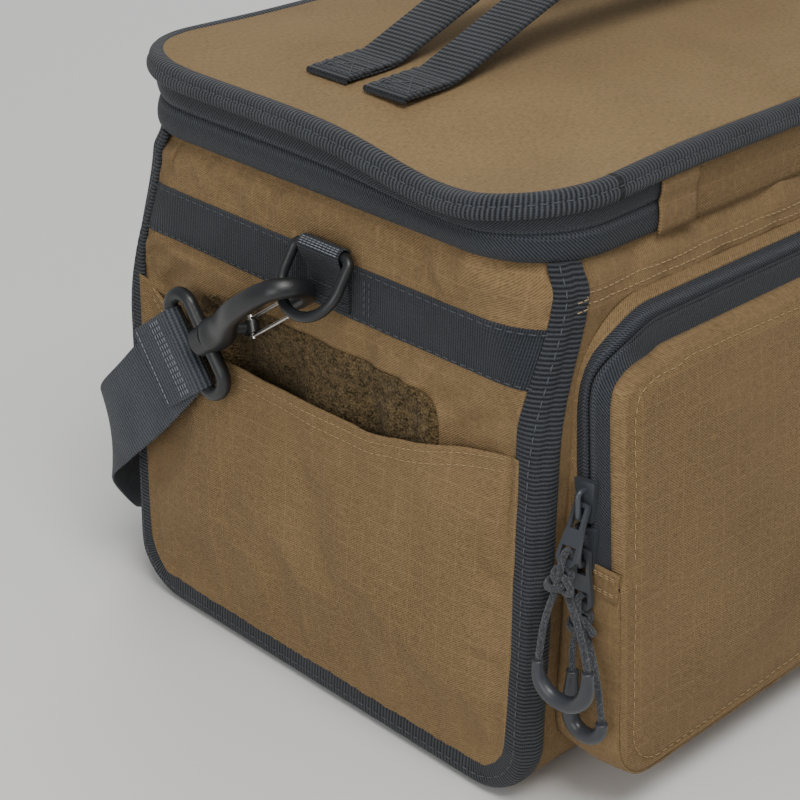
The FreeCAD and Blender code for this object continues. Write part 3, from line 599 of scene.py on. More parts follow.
def settle(frames=22):
    if not CLOTHS:
        return
    for step in range(1, frames + 1):
        bpy.context.scene.frame_set(step)
    graph = bpy.context.evaluated_depsgraph_get()
    for obj, rest, cap in CLOTHS:
        shape = obj.evaluated_get(graph).data
        now = np.array([v.co for v in shape.vertices])
        move = now - rest
        size = np.linalg.norm(move, axis=1)
        move *= (np.minimum(size, cap * MM) / np.maximum(size, 1e-9))[:, None]
        bad = ~np.isfinite(move).all(1)
        move[bad] = 0
        obj.data.vertices.foreach_set("co", (rest + move).astype(np.float32).ravel())
        obj.modifiers.remove(obj.modifiers["cloth"])
        obj.vertex_groups.clear()
        obj.data.update()
    bpy.context.scene.frame_set(1)


# ------------------------------------------------------------------ the bag's own numbers, mm

HALF_X, HALF_Y, TOP = 200.0, 130.0, 252.0       # the cloth body under the zip
RIM_X, RIM_Y, RIM_R = 201.0, 124.0, 38.0        # the zip's outline in plan, and its corners
LID_Z, LID_CROWN = 283.6, 3.8                   # the lid cloth's edge, and its middle above that
WEBBING_WIDE, STRAP_WIDE = 25, 40
UP = np.array((0.0, 0.0, 1.0))


def sag(x, y, z):
    """How far the slack rim stands above or hangs below level, most at the left end's front."""
    end = smooth(105, 192, np.abs(x))
    level = smooth(255, 276, z)
    left = 1.5 * smooth(70, 112, y) - 9.6 * hump(y, -74, 46)
    right = 2.5 * smooth(-60, -110, y) - 5.0 * hump(y, 28, 46)
    return end * level * np.where(np.asarray(x) < 0, left, right)


def sagged(points):
    """Points round the rim and lid, let down by the sag."""
    points = np.array(points, float)
    points[..., 2] += sag(points[..., 0], points[..., 1], points[..., 2])
    return points


def shaped(points):
    """Rounds the upright corners more towards the top, and draws the top edge in under the zip."""
    points = np.array(points, float)
    x, y, z = points[..., 0], points[..., 1], points[..., 2]
    drawn = 1 - 0.043 * smooth(238, 252, z)
    y = y * drawn
    radius = 4 + 34 * smooth(150, 250, z)
    dx, dy = np.abs(x) - (HALF_X - radius), np.abs(y) - (HALF_Y * drawn - radius)
    corner = (dx > 0) & (dy > 0)
    far, turn = np.maximum(dx, dy), np.arctan2(dy, np.maximum(dx, 1e-6))
    turn = turn + np.where(y < 0, 0.30, -0.34) * np.sin(2 * turn) * smooth(150, 235, z)
    points[..., 0] = np.where(corner, np.sign(x) * (HALF_X - radius + far * np.cos(turn)), x)
    points[..., 1] = np.where(corner, np.sign(y) * (HALF_Y * drawn - radius + far * np.sin(turn)), y)
    return points


def narrowed(z, low, half, radius):
    """Half width of an upright panel with rounded lower corners at a height."""
    below = np.clip(low + radius - np.asarray(z, float), 0, radius)
    return half - (radius - np.sqrt(radius ** 2 - below ** 2))


def spaced_edges(low, high, step, near, fine):
    """Coordinates from low to high with closer steps near both ends."""
    edge = np.arange(0, near, fine)
    middle = np.linspace(low + near, high - near, max(2, int((high - low - 2 * near) / step)))
    return np.concatenate([low + edge, middle, (high - edge)[::-1]])


def surface_of(obj):
    """A search tree of an object's finished surface."""
    return BVHTree.FromObject(obj, bpy.context.evaluated_depsgraph_get())


def hit_x(tree, side, y, z, default):
    """The x of a surface met from outside one end, or the default on that side."""
    start = Vector((side * 0.26, (y + BAG_Y) * MM, z * MM))
    place = tree.ray_cast(start, Vector((-side, 0, 0)), 0.09)[0]
    return side * abs(place.x) / MM if place else side * default


# ------------------------------------------------------------------ ends of the bag

END_U, END_Z = np.linspace(-1, 1, 84), np.linspace(8, 252.6, 82)


def end_skin(name, side):
    """One end's cloth, slack above its pocket, queued for the solver."""
    z, u = grid(END_Z, END_U)
    y = u * narrowed(z, 8, 124.5, 24)
    rest = (1 - (y / 126) ** 2) * smooth(8, 60, z) * smooth(262, 228, z)
    seed = 3.1 if side < 0 else 8.4
    out = 0.8 * rest + 0.5 * folds(y, z, 46, seed) * rest
    crease = hump(y * 0.82 + z * 0.57, 66, 5) * smooth(226, 236, z) + \
        hump(y * 0.9 - z * 0.43, -168, 5) * smooth(224, 234, z)
    mirror = -side
    ripple = folds(y * 0.9 + z * 0.35 * mirror, (z - y * 0.3 * mirror) * 0.32, 15, seed + 4, 1)
    above = smooth(172, 186, z) * smooth(201, 196, z) + smooth(225, 230, z)
    out = out + 1.3 * crease - 2.5 * smooth(238, 252, z) + 1.5 * above * ripple * smooth(122, 108, np.abs(y))
    points = sagged(shaped(np.stack([side * (200.2 + out), y, z], -1)))
    obj = lattice(f"end_cloth_{name}", points, COYOTE, np.stack([y, z], -1), flip=side < 0)
    strap = smooth(192, 199, z) * smooth(231, 226, z)
    ring = hump(y, -11, 26) * smooth(160, 190, z)
    border = np.maximum(smooth(0.94, 0.97, np.abs(u)), np.maximum(smooth(14, 10, z), smooth(249, 251, z)))
    held = np.clip(np.maximum(np.maximum(border, strap), ring), 0, 1)
    loosen(obj, held.ravel(), 1.2, 0.035, 4.5)
    return obj


HEM = curve_through([(-121, 172), (-90, 166), (-63, 158), (-40, 153.5), (-9, 153), (22, 155),
                     (56, 157), (90, 163), (106, 168), (121, 179)])


def sleeve(name, side):
    """The slip pocket on one end, full in the middle, queued for the solver."""
    us, vs = np.linspace(-1, 1, 92), np.linspace(0, 1, 60)
    v, u = grid(vs, us)
    mirror = -side
    z = 12 + v * (HEM(mirror * u * 118) - 12)
    y = u * narrowed(z, 11, 120.5, 22)
    full = (1 - np.abs(y / 121) ** 2.2)
    out = 8.2 * full ** 0.8 * smooth(10, 70, z)
    out = out + 0.7 * folds(y, z, 60, 5.5 + side) * full * smooth(14, 40, z)
    points = np.stack([side * (201.6 + out), y, z], -1)
    obj = lattice(f"slip_pocket_cloth_{name}", points, COYOTE, np.stack([y + 3, z + 2], -1), flip=side < 0)
    held = np.maximum(smooth(0.95, 0.98, np.abs(u)), smooth(0.04, 0.01, v))
    loosen(obj, held.ravel(), 1.6, 0.02, 3.2)
    return obj


def loop_patch(name, side, tree):
    """Loop pile sewn on the end above its slip pocket."""
    ys, zs = np.linspace(-76, 76, 70), np.linspace(96, 183, 44)
    z, y = grid(zs, ys)
    inset = 12 - np.sqrt(np.maximum(0, 144 - np.clip(z - 171, 0, 12) ** 2))
    y = y * (76 - inset) / 76
    under = np.array([[abs(hit_x(tree, side, b, c, 201)) for b, c in zip(*row)] for row in zip(y, z)])
    under = np.maximum(under, (np.roll(under, 1, 1) + np.roll(under, -1, 1)) / 2)
    edge = np.clip(smooth(0.97, 1.0, np.abs(y) / (76 - inset + 1e-6)) + smooth(182, 183, z), 0, 1)
    out = 1.5 + 0.25 * folds(y, z, 3.0, 1.7, 1) - 0.9 * edge
    points = np.stack([side * (under + out), y, z], -1)
    return lattice(f"loop_pile_{name}", points, PILE, np.stack([y, z], -1), flip=side < 0)


def edge_tape(name, side):
    """Grosgrain folded over the end seam, down the front, round the floor and up the back."""
    low = 1.9
    line = rounded([(0, -131.6, TOP - 1), (0, -131.6, low), (0, 131.6, low), (0, 131.6, TOP - 1)],
                   [0, 31, 31, 0], 1.6)
    t = tangents(line)
    inward = np.stack([np.zeros(len(t)), -t[:, 2], t[:, 1]], 1)
    line[:, 0] = side * 190
    wobble = 0.5 * folds(line[:, 1], line[:, 2], 30, 2.0 + side)
    profile = np.array([(10.6, 14.6), (12.0, 14.4), (12.9, 13.0), (13.2, 9.0), (13.3, 5.0), (12.8, 2.2),
                        (11.2, 0.4), (8.4, -0.5), (4.6, -0.6), (2.0, -0.4), (0.9, 0.6), (1.4, 1.8),
                        (4.6, 2.2), (7.6, 3.0), (9.6, 5.4), (10.4, 10.0)])
    rows = np.repeat(profile[None], len(line), 0)
    rows[:, :, 0] += 0.35 * wobble[:, None]
    rows[:, 1:8, 1] += 0.25 * wobble[:, None]
    points = line[:, None] + np.array((side, 0, 0)) * rows[:, :, :1] + inward[:, None] * rows[:, :, 1:]
    points = shaped(points)
    along = np.arange(len(line)) * np.linalg.norm(line[1] - line[0])
    wide = distances(profile)
    obj = lattice(f"edge_tape_{name}", points, EDGE_TAPE,
                  np.stack(grid(along, wide), -1), (False, True), flip=side > 0)
    cap_ends(obj, len(line), len(profile))
    soften(obj)
    row = points[:, 3] * 0.35 + points[:, 4] * 0.65 + (side * 0.1, 0, 0)
    stitch("root", row, (side, 0, 0), pitch=5.0, long=3.4, thick=0.6, thread="grey", lift=0.1)
    return obj


def side_webbing(name, side, cloth):
    """Webbing sewn across the end and round its corners, on the settled cloth under it."""
    settled = np.array([v.co for v in cloth.data.vertices]).reshape(len(END_Z), len(END_U), 3)
    settled = settled / MM - (0, BAG_Y, 0)
    rows, cols = np.arange(len(END_Z)), np.arange(len(END_U))
    at_z = np.interp(np.linspace(200.2, 225.0, 7), END_Z, rows)
    at_u = np.interp(np.linspace(-0.955, 0.955, 86), END_U, cols)
    lines = np.array([[np.interp(at_z, rows, settled[:, c, k]) for k in range(3)] for c in cols])
    band = np.array([[np.interp(at_u, cols, lines[:, k, j]) for k in range(3)] for j in range(7)])
    band = band.transpose(2, 0, 1)
    along = unit(np.gradient(band[:, 3], axis=0))
    normal = unit(np.cross(along, UP))
    normal = normal * np.sign(normal[:, :1] * side)
    band = band + normal[:, None] * 1.35
    uv = np.stack(grid(distances(band[:, 3]), band[0, :, 2]), -1)
    obj = lattice(f"side_webbing_{name}", band, WEBBING, uv, flip=side > 0)
    thicken(obj, 1.1, 1.0, 1)
    for k in (0.4, 6 - 0.4):
        low = int(k)
        edge = band[:, low] * (1 - k + low) + band[:, low + 1] * (k - low)
        stitch("root", edge + normal, normal, pitch=4.6, thick=0.45, thread="grey", lift=0.1)
    for y in (-34.5, -31.5, 9.5, 12.5):
        i = int(np.abs(band[:, 3, 1] - y).argmin())
        stitch("root", band[i, 1:6] + normal[i], normal[i], pitch=2.8, long=2.2, thick=0.5,
               thread="grey", lift=0.1)
    return obj


def ring_webbing(name, side):
    """Webbing folded over the D-ring's bar and sewn down below it, with painted highlights drawn as pale
    stitch rows on the fold over the bar.
    """
    bar_x, bar_z, grip = 206.6, 229.0, 3.55
    turn = [(bar_x - grip * math.cos(a), bar_z + grip * math.sin(a)) for a in np.linspace(-0.15, 3.5, 14)]
    path = [(202.85, 202.5), (202.85, 214), (202.9, 224)] + turn + \
        [(208.2, 224.2), (205.4, 220.4), (204.0, 216.5), (203.75, 211), (203.75, 202.5)]
    path = spaced(np.array(path), 1.1)
    line = np.stack([side * path[:, 0], np.full(len(path), -11.0), path[:, 1]], 1)
    t = tangents(line)
    wide = np.tile((0, 1.0, 0), (len(line), 1))
    obj = sweep(f"ring_webbing_{name}", line, wide, np.cross(t, wide), strip(WEBBING_WIDE, 0.95),
                WEBBING, flip=side > 0)
    # Painted highlights: these four rows of pale stitches across the fold over the bar stand for light on the
    # webbing's ribs where it bends, not for seams.
    for lift in (0, 1.7, 3.4, 5.1):
        a = 2.0 + lift / grip * 0.55
        z, x = bar_z + (grip + 0.4) * math.sin(a), bar_x - (grip + 0.4) * math.cos(a)
        line = np.array([(side * x, y, z) for y in np.linspace(-22.5, 0.5, 12)])
        normal = (side * -math.cos(a), 0, math.sin(a))
        stitch("root", line, normal, pitch=2.3, long=2.0, thick=0.6, thread="pale", lift=0.15)
    for z in (206, 212):
        line = np.array([(side * 204.25, y, z) for y in np.linspace(-22, 0, 12)])
        stitch("root", line, (side, 0, 0), pitch=2.6, long=2.2, thick=0.5, thread="grey")
    return obj


# ------------------------------------------------------------------ front, floor and back

POCKET_X, POCKET_LOW, POCKET_TOP = 182.0, 24.0, 230.0
POCKET_SPLIT = 121.0                            # where the flap starts, above the lower half
CLOSING_LOW, CLOSING_TOP, CLOSING_BEND = 13.0, 5.2, 205.0   # the zip's slant out from the panel


def body_wrap():
    """One cloth from the top of the front, under the floor, to the top of the back."""
    line = rounded([(-129.9, 252.5), (-129.9, 0.9), (129.9, 0.9), (129.9, 252.5)], [0, 30, 30, 0], 4.2)
    xs = np.linspace(-192.5, 192.5, 92)
    s, x = grid(np.arange(len(line)), xs)
    y, z = line[s, 0], line[s, 1]
    t = tangents(line)
    upright = smooth(6, 60, z)
    free = (1 - np.abs(x / 193) ** 6) * upright
    out = (1.2 + 1.2 * folds(x, z + y * 0.7, 60, 4.2)) * free
    out = out + 1.1 * smooth(234.6, 236.2, z) * (y < 0) * smooth(252, 247, z)
    out = out + 0.7 * folds(x, z * 0.5, 17, 7.9, 1) * (y < 0) * smooth(236, 240, z) * free
    along = distances(line)[s]
    points = shaped(np.stack([x, y - t[s, 1] * out, z + t[s, 0] * out], -1))
    obj = lattice("body_cloth", points, COYOTE, np.stack([x, along], -1))
    inside = smooth(188, 184, np.abs(x)) * smooth(18, 24, z) * smooth(232, 226, z) * (y < 0)
    held = np.maximum.reduce([smooth(188, 191, np.abs(x)), smooth(12, 6, z), smooth(249, 251, z), inside,
                              hump(z, 236, 3) * (y < 0)])
    loosen(obj, np.clip(held, 0, 1).ravel(), -1.3, 0.02, 4.0)
    return obj


def depth_at(z):
    """How far the front pocket's face stands out from the panel at a height."""
    return 20 + (POCKET_TOP - np.asarray(z, float)) * 16 / (POCKET_TOP - POCKET_LOW)


def closing_depth(z):
    """The zip's closing line on the pocket's side, out from the panel."""
    return np.interp(z, [POCKET_SPLIT, CLOSING_BEND], [CLOSING_LOW, CLOSING_TOP])


def pocket_outline(step=2.4):
    """Up the pocket's left side, across its top and down the right, with inward directions."""
    low = POCKET_SPLIT + 0.4
    line = rounded([(-POCKET_X, low), (-POCKET_X, POCKET_TOP), (POCKET_X, POCKET_TOP), (POCKET_X, low)],
                   [0, 38, 38, 0], step)
    t = tangents(line)
    return line, np.stack([t[:, 1], -t[:, 0]], 1)


def pocket_station(line, inward, depth, inset):
    """Points at a depth from the panel and an inset from the outline."""
    flat = line + inward * np.asarray(inset)[..., None]
    return np.stack([flat[:, 0], -HALF_Y - np.broadcast_to(depth, (len(line),)), flat[:, 1]], 1)


def pocket_tapes():
    """The zip round the pocket: a sewn half on the bag and the flap's half."""
    line, inward = pocket_outline()
    top = smooth(0.25, 0.95, -inward[:, 1])
    closing = closing_depth(line[:, 1]) * (1 - top) + 9.0 * top
    inset = 7.0 * top
    gap = 0.32
    wave_in = 0.35 * folds(line[:, 0], line[:, 1], 40, 9.0)
    # gusset cloth from the panel to the sewn tape
    outer = np.maximum(closing - 6.2, 0.6)
    outer_in = np.maximum(inset - 5.2 * top, 0)
    gusset = np.stack([pocket_station(line, inward, d, i) for d, i in (
        (-0.6, np.full(len(line), -1.2)),
        (outer * 0.45, outer_in * 0.2 - 0.5 + wave_in),
        (outer * 0.8, outer_in * 0.6 + 0.1 + wave_in),
        (outer + 0.8, outer_in + 0.7))], 1)
    cloth = lattice("pocket_gusset", gusset, COYOTE, flip=True)
    thicken(cloth, 0.9, -1.0, 1)
    on(cloth, "root", "coyote_ripstop")
    tape = np.stack([pocket_station(line, inward, d, i) for d, i in (
        (outer - 0.2, outer_in + 0.2),
        (outer + (closing - outer) * 0.35, outer_in + (inset - outer_in) * 0.35 - 0.3),
        (outer + (closing - outer) * 0.72, outer_in + (inset - outer_in) * 0.72 - 0.5),
        (closing - gap - 0.5, inset - 0.35),
        (closing - gap, inset + 0.25),
        (closing - gap - 0.1, inset + 1.5))], 1)
    uv_v = np.array([-7.0, -4.6, -2.2, -0.5, 0.2, 0.8])
    along = np.arange(len(line)) * np.linalg.norm(line[1] - line[0])
    uv = np.stack(grid(along, uv_v), -1)
    sewn = lattice("pocket_zip_sewn", tape, ZIP_TAPE, uv, flip=True)
    thicken(sewn, 0.7, -1.0, 1)
    on(sewn, "root", "grey_zip", "pocket_tape_body")
    inner, inner_in = closing + 10.5 - 7.5 * top, inset + 0.6 + 10.5 * top
    flap = np.stack([pocket_station(line, inward, d, i) for d, i in (
        (closing + gap + 0.1, inset + 1.6),
        (closing + gap, inset + 0.3),
        (closing + gap + 0.5, inset - 0.3),
        (closing + (inner - closing) * 0.3, inset + (inner_in - inset) * 0.3 - 0.5),
        (closing + (inner - closing) * 0.7, inset + (inner_in - inset) * 0.7 - 0.3),
        (inner, inner_in),
        (inner + 0.8, inner_in + 0.8))], 1)
    uv_v = np.array([-0.8, -0.2, 0.5, 3.2, 7.0, 10.0, 11.2])
    uv = np.stack(grid(along, uv_v), -1)
    moving = lattice("pocket_zip_flap", flap, ZIP_TAPE, uv, flip=True)
    thicken(moving, 0.7, -1.0, 1)
    on(moving, "pocket_flap", "grey_zip")
    return line, inward, inner, inner_in


def pocket_face(line, inward, inner, inner_in):
    """The pocket's cloth in one piece: flap and lower half, out over soft edges and across."""
    lower = rounded([(POCKET_X, POCKET_SPLIT - 2), (POCKET_X, POCKET_LOW), (-POCKET_X, POCKET_LOW),
                     (-POCKET_X, POCKET_SPLIT - 2)], [0, 20, 20, 0], 3.0)
    t = tangents(lower)
    low_in = np.stack([t[:, 1], -t[:, 0]], 1)
    edge_low = lower + low_in * 0.6
    edge_up = line + inward * inner_in[:, None]
    depth_low = depth_at(edge_low[:, 1]) - 0.6
    boundary = np.vstack([edge_up, edge_low])
    start_depth = np.concatenate([inner, depth_low])
    centre = np.array((0.0, 122.0))
    reach = centre - boundary
    far = np.linalg.norm(reach, axis=1)
    reach = reach / far[:, None]
    rings = []
    insets = [0, 0.9, 1.9, 3.1, 4.6, 6.4, 8.6, 11.5, 15.5, 21]
    shares = np.concatenate([np.linspace(1, 0.1, 25)[1:], [0.03]])
    for s, f in [(s, 1.0) for s in insets] + [(insets[-1], f) for f in shares]:
        flat = centre + (boundary + reach * s - centre) * f
        x, z = flat[:, 0], flat[:, 1]
        away = s + (1 - f) * (far - insets[-1])
        body = depth_at(z) + 1.2 + 3.0 * smooth(10, 90, away)
        body = body + 1.1 * folds(x, z, 48, 6.6) * smooth(6, 40, away)
        pinch = 1.3 * hump(away, 7.0, 2.2) + 0.6 * folds(x, z, 8.5, 2.9, 1) * hump(away, 6.0, 6.0)
        rise = 1 - np.exp(-s / 2.6)
        depth = start_depth + (np.maximum(body, start_depth) - start_depth) * rise - pinch * rise
        rings.append(np.stack([x, -HALF_Y - depth, z], 1))
    rings = np.array(rings)
    uv = np.stack([rings[..., 0] + 2.0, rings[..., 2] - 1.0], -1)
    face = lattice("pocket_cloth", rings, COYOTE, uv, wrap=(False, True), flip=True)
    fill_hole(face, len(boundary), len(rings) - 1)
    thicken(face, 1.0, -1.0)
    row = rings[6]
    normal = unit(np.stack([np.sign(row[:, 0]) * 0.35 * (np.abs(row[:, 0]) > 168), np.full(len(row), -1.0),
                            0.3 * (row[:, 2] > 200)], 1))
    start = len(edge_up)
    stitch("root", row[start:], normal[start:], pitch=4.6, thick=0.5, lift=0.35)
    above = row[:start]
    stitch("pocket_flap", above[above[:, 2] > 126], normal[:start][above[:, 2] > 126], pitch=4.6,
           thick=0.5, lift=0.35)
    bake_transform(face)
    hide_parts("pocket_flap", "pocket_box")
    walls = []
    for share in (0, 0.12, 0.35, 0.6, 0.82, 1.0):
        bow = 1.6 * math.sin(math.pi * share) + 0.5 * folds(lower[:, 0] + lower[:, 1], share * 30, 18, 2.2)
        flat = lower + low_in * (0.5 - bow * min(1, 4 * share))[:, None]
        depth = -0.6 + (depth_low + 0.9) * share
        walls.append(np.stack([flat[:, 0], -HALF_Y - depth, flat[:, 1]], 1))
    wall = lattice("pocket_side_cloth", np.array(walls), COYOTE, flip=True)
    thicken(wall, 0.9, -1.0, 1)
    on(wall, "root", "coyote_ripstop")
    for name, side in SIDES:
        cover = []
        for z in np.linspace(112.5, 126.5, 8):
            cover.append([(side * (POCKET_X + 0.9 + 0.5 * math.sin((z - 112) / 5)), -HALF_Y - d, z)
                          for d in np.linspace(9.5, 28.5, 10)])
        cover = lattice(f"pocket_zip_end_{name}", np.array(cover), COYOTE, flip=side > 0)
        thicken(cover, 0.9, 0.0, 1)
        on(cover, "root", "coyote_ripstop")
        for z in (116, 123.5):
            row = np.array([(side * (POCKET_X + 1.8), -HALF_Y - d, z) for d in np.linspace(12, 27, 8)])
            for shift in (-0.5, 0.5):
                stitch("root", row + (0, 0, shift), (side, 0, 0), pitch=2.6, long=2.3, thick=0.5)


def fill_hole(obj, count, ring):
    """Closes the small opening left inside the last ring of a lattice."""
    bm = bmesh.new()
    bm.from_mesh(obj.data)
    bm.verts.ensure_lookup_table()
    layer = bm.loops.layers.uv.active
    verts = [bm.verts[ring * count + k] for k in range(count)]
    found = {v: v.link_loops[0][layer].uv.copy() for v in verts}
    made = bm.faces.new(verts)
    made.smooth = True
    for loop in made.loops:
        loop[layer].uv = found[loop.vert]
    bmesh.ops.recalc_face_normals(bm, faces=bm.faces)
    bm.to_mesh(obj.data)
    bm.free()


# ------------------------------------------------------------------ rim, zip and lid

def rim_line(half_x, half_y, radius, step=3.2):
    """Plan outline from the front's left zip end round the bag to its right zip end."""
    line = rounded([(-129.5, -half_y), (-half_x, -half_y), (-half_x, half_y), (half_x, half_y),
                    (half_x, -half_y), (129.5, -half_y)], [0, radius, radius, radius, radius, 0], step)
    t = tangents(line)
    return line, np.stack([-t[:, 1], t[:, 0]], 1)


def plan_sweep(name, line, outward, profile, mat, closed=False, v_zero=None):
    """A profile of (outward, z) pairs carried round a plan outline and let sag."""
    profile = np.asarray(profile, float)
    flat = line[:, None] + outward[:, None] * profile[None, :, :1]
    points = np.concatenate([flat, np.broadcast_to(profile[None, :, 1:], (len(line), len(profile), 1))], 2)
    points = sagged(points)
    along = distances(line)
    wide = distances(profile)
    wide = wide - (wide.mean() if v_zero is None else wide[v_zero])
    uv = np.stack(grid(along, wide), -1)
    return lattice(name, points, mat, uv, (closed, False))


def closed_plan(half_x, half_y, radius, step=3.2):
    """A closed plan outline with rounded corners, and its outward directions."""
    line = rounded([(-half_x, -half_y), (-half_x, half_y), (half_x, half_y), (half_x, -half_y)],
                   [radius] * 4, step, closed=True)[:-1]
    t = tangents(line, closed=True)
    return line, np.stack([-t[:, 1], t[:, 0]], 1)


def build_rim():
    """Both halves of the lid's zip and the lining's top edge."""
    line, out = rim_line(RIM_X, RIM_Y, RIM_R)
    low = [(-1.0, 250.5), (0.6, 251.0), (1.9, 252.6), (2.3, 255.2), (2.0, 258.4), (1.3, 261.0), (0.5, 262.9),
           (-0.1, 263.7), (-1.4, 263.8)]
    tape = plan_sweep("rim_zip_sewn", line, out, low, ZIP_TAPE, v_zero=7)
    thicken(tape, 0.8, -1.0, 1)
    on(tape, "root", "grey_zip", "zip_tape_body")
    high = [(-1.4, 264.2), (-0.1, 264.3), (0.6, 265.1), (1.5, 267.0), (2.1, 269.6), (2.3, 272.4),
            (2.2, 276.5)]
    tape = plan_sweep("rim_zip_lid", line, out, high, ZIP_TAPE, v_zero=1)
    thicken(tape, 0.8, -1.0, 1)
    on(tape, "lid", "grey_zip", "lid_band")
    shelf_line, shelf_out = closed_plan(198.5, RIM_Y - 0.5, RIM_R)
    lining = [(0.3, 263.6), (-0.6, 258), (-1.2, 251), (-1.8, 244), (-6.5, 240)]
    shelf = plan_sweep("rim_lining", shelf_line, shelf_out, lining, FIRE_CLOTH, closed=True)
    thicken(shelf, 0.7, 0.0)
    on(shelf, "root", "fire_cloth")
    for body, z, a in (("root", 253.8, 2.45), ("lid", 274.3, 2.55)):
        row = np.column_stack([line + out * a, np.full(len(line), z)])
        stitch(body, sagged(row), np.column_stack([out, np.zeros(len(line))]), pitch=4.4, thick=0.45,
               thread="grey", lift=0.1)


def build_hinge():
    """The cloth that hinges the lid along the front, with its two stitched zip ends."""
    zs, xs = np.linspace(249.5, 276.0, 14), np.linspace(-128, 128, 90)
    z, x = grid(zs, xs)
    out = 1.2 + 0.9 * hump(z, 257, 5) + 0.9 * hump(z, 270, 5) + 0.5 * folds(x, z, 22, 3.3)
    strip_cloth = lattice("hinge_cloth", np.stack([x, -RIM_Y - out, z], -1), COYOTE, np.stack([x, z], -1),
                          flip=True)
    thicken(strip_cloth, 0.9, -1.0)
    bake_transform(strip_cloth)
    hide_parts("lid_hinge_strip", "zip_end_tabs")
    for name, side in SIDES:
        z, x = grid(np.linspace(250.5, 275.5, 12), np.linspace(110, 134, 12))
        out = 3.0 + 0.5 * hump(z, 257, 5) + 0.5 * hump(z, 270, 5) - 0.7 * hump(z, 264, 2)
        tab = lattice(f"zip_end_cloth_{name}", np.stack([side * x, -RIM_Y - out, z], -1), COYOTE,
                      np.stack([z, x], -1), flip=side < 0)
        thicken(tab, 1.0, -1.0)
        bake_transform(tab)
        for place in (131.6, 123.6):
            for body, span in (("root", (251.5, 258.5)), ("lid", (269.5, 274.5))):
                row = np.array([(side * place, -RIM_Y - 3.5, z) for z in np.linspace(*span, 4)])
                stitch(body, row, (0, -1, 0), pitch=2.6, long=2.3, thick=0.6)


def lid_height(x, y):
    """Height of the lid's cloth."""
    dome = (1 - (np.asarray(x) / 204) ** 4) * (1 - (np.asarray(y) / 127) ** 4)
    return LID_Z + LID_CROWN * dome


def build_lid():
    """The lid's rim tape, its crowned cloth and the quilting underneath."""
    line, out = closed_plan(204.2, 126.0, 41)
    shape = [(-4.6, 283.4), (-3.6, 284.1), (-1.8, 284.5), (0.4, 284.4), (2.2, 283.7), (3.2, 282.4),
             (3.3, 281.2), (3.1, 280.3), (4.0, 279.9), (4.5, 278.6), (4.5, 276.6), (3.8, 275.1), (2.2, 274.2),
             (-0.4, 274.5), (-1.2, 276.4)]
    rim = plan_sweep("lid_rim_tape", line, out, shape, RIM_TAPE, closed=True)
    thicken(rim, 0.8, -1.0, 1)
    on(rim, "lid", "grey_binding", "lid_binding")
    row = np.column_stack([line + out * 3.3, np.full(len(line), 280.5)])
    facing = np.column_stack([out, np.zeros(len(line))])
    row, facing = np.vstack([row, row[:1]]), np.vstack([facing, facing[:1]])
    stitch("lid", sagged(row), facing, pitch=5.0, long=3.4, thick=0.55, thread="grey", lift=0.1)
    ys, us = np.linspace(-122.5, 122.5, 90), spaced_edges(-1, 1, 0.024, 0.06, 0.006)
    y, u = grid(ys, us)
    half = narrowed(-np.abs(y) + 122.5, 0, 201.0, 37)
    x = u * half
    z = lid_height(x, y) + 0.35 * folds(x, y, 50, 7.7)
    top = lattice("lid_cloth", sagged(np.stack([x, y, z], -1)), LID_CLOTH, np.stack([x + 3, y], -1),
                  flip=True)
    thicken(top, 1.0, -1.0, 1)
    on(top, "lid", "coyote_lid_cloth", "lid_panel", "lid_foam")
    ys, us = np.linspace(-119.5, 119.5, 60), np.linspace(-1, 1, 90)
    y, u = grid(ys, us)
    x = u * narrowed(-np.abs(y) + 119.5, 0, 196.8, 33)
    quilt = np.abs(np.sin(math.pi * (x + y) / 62)) * np.abs(np.sin(math.pi * (x - y) / 62))
    edge = smooth(1.0, 0.93, np.abs(u)) * smooth(119.5, 112, np.abs(y))
    z = 271.3 - 1.3 * edge * quilt ** 0.35
    under = lattice("lid_quilt", sagged(np.stack([x, y, z], -1)), FIRE_CLOTH, np.stack([x, y], -1))
    thicken(under, 0.8, -1.0)
    on(under, "lid", "fire_cloth", "lid_liner")


# ------------------------------------------------------------------ handles

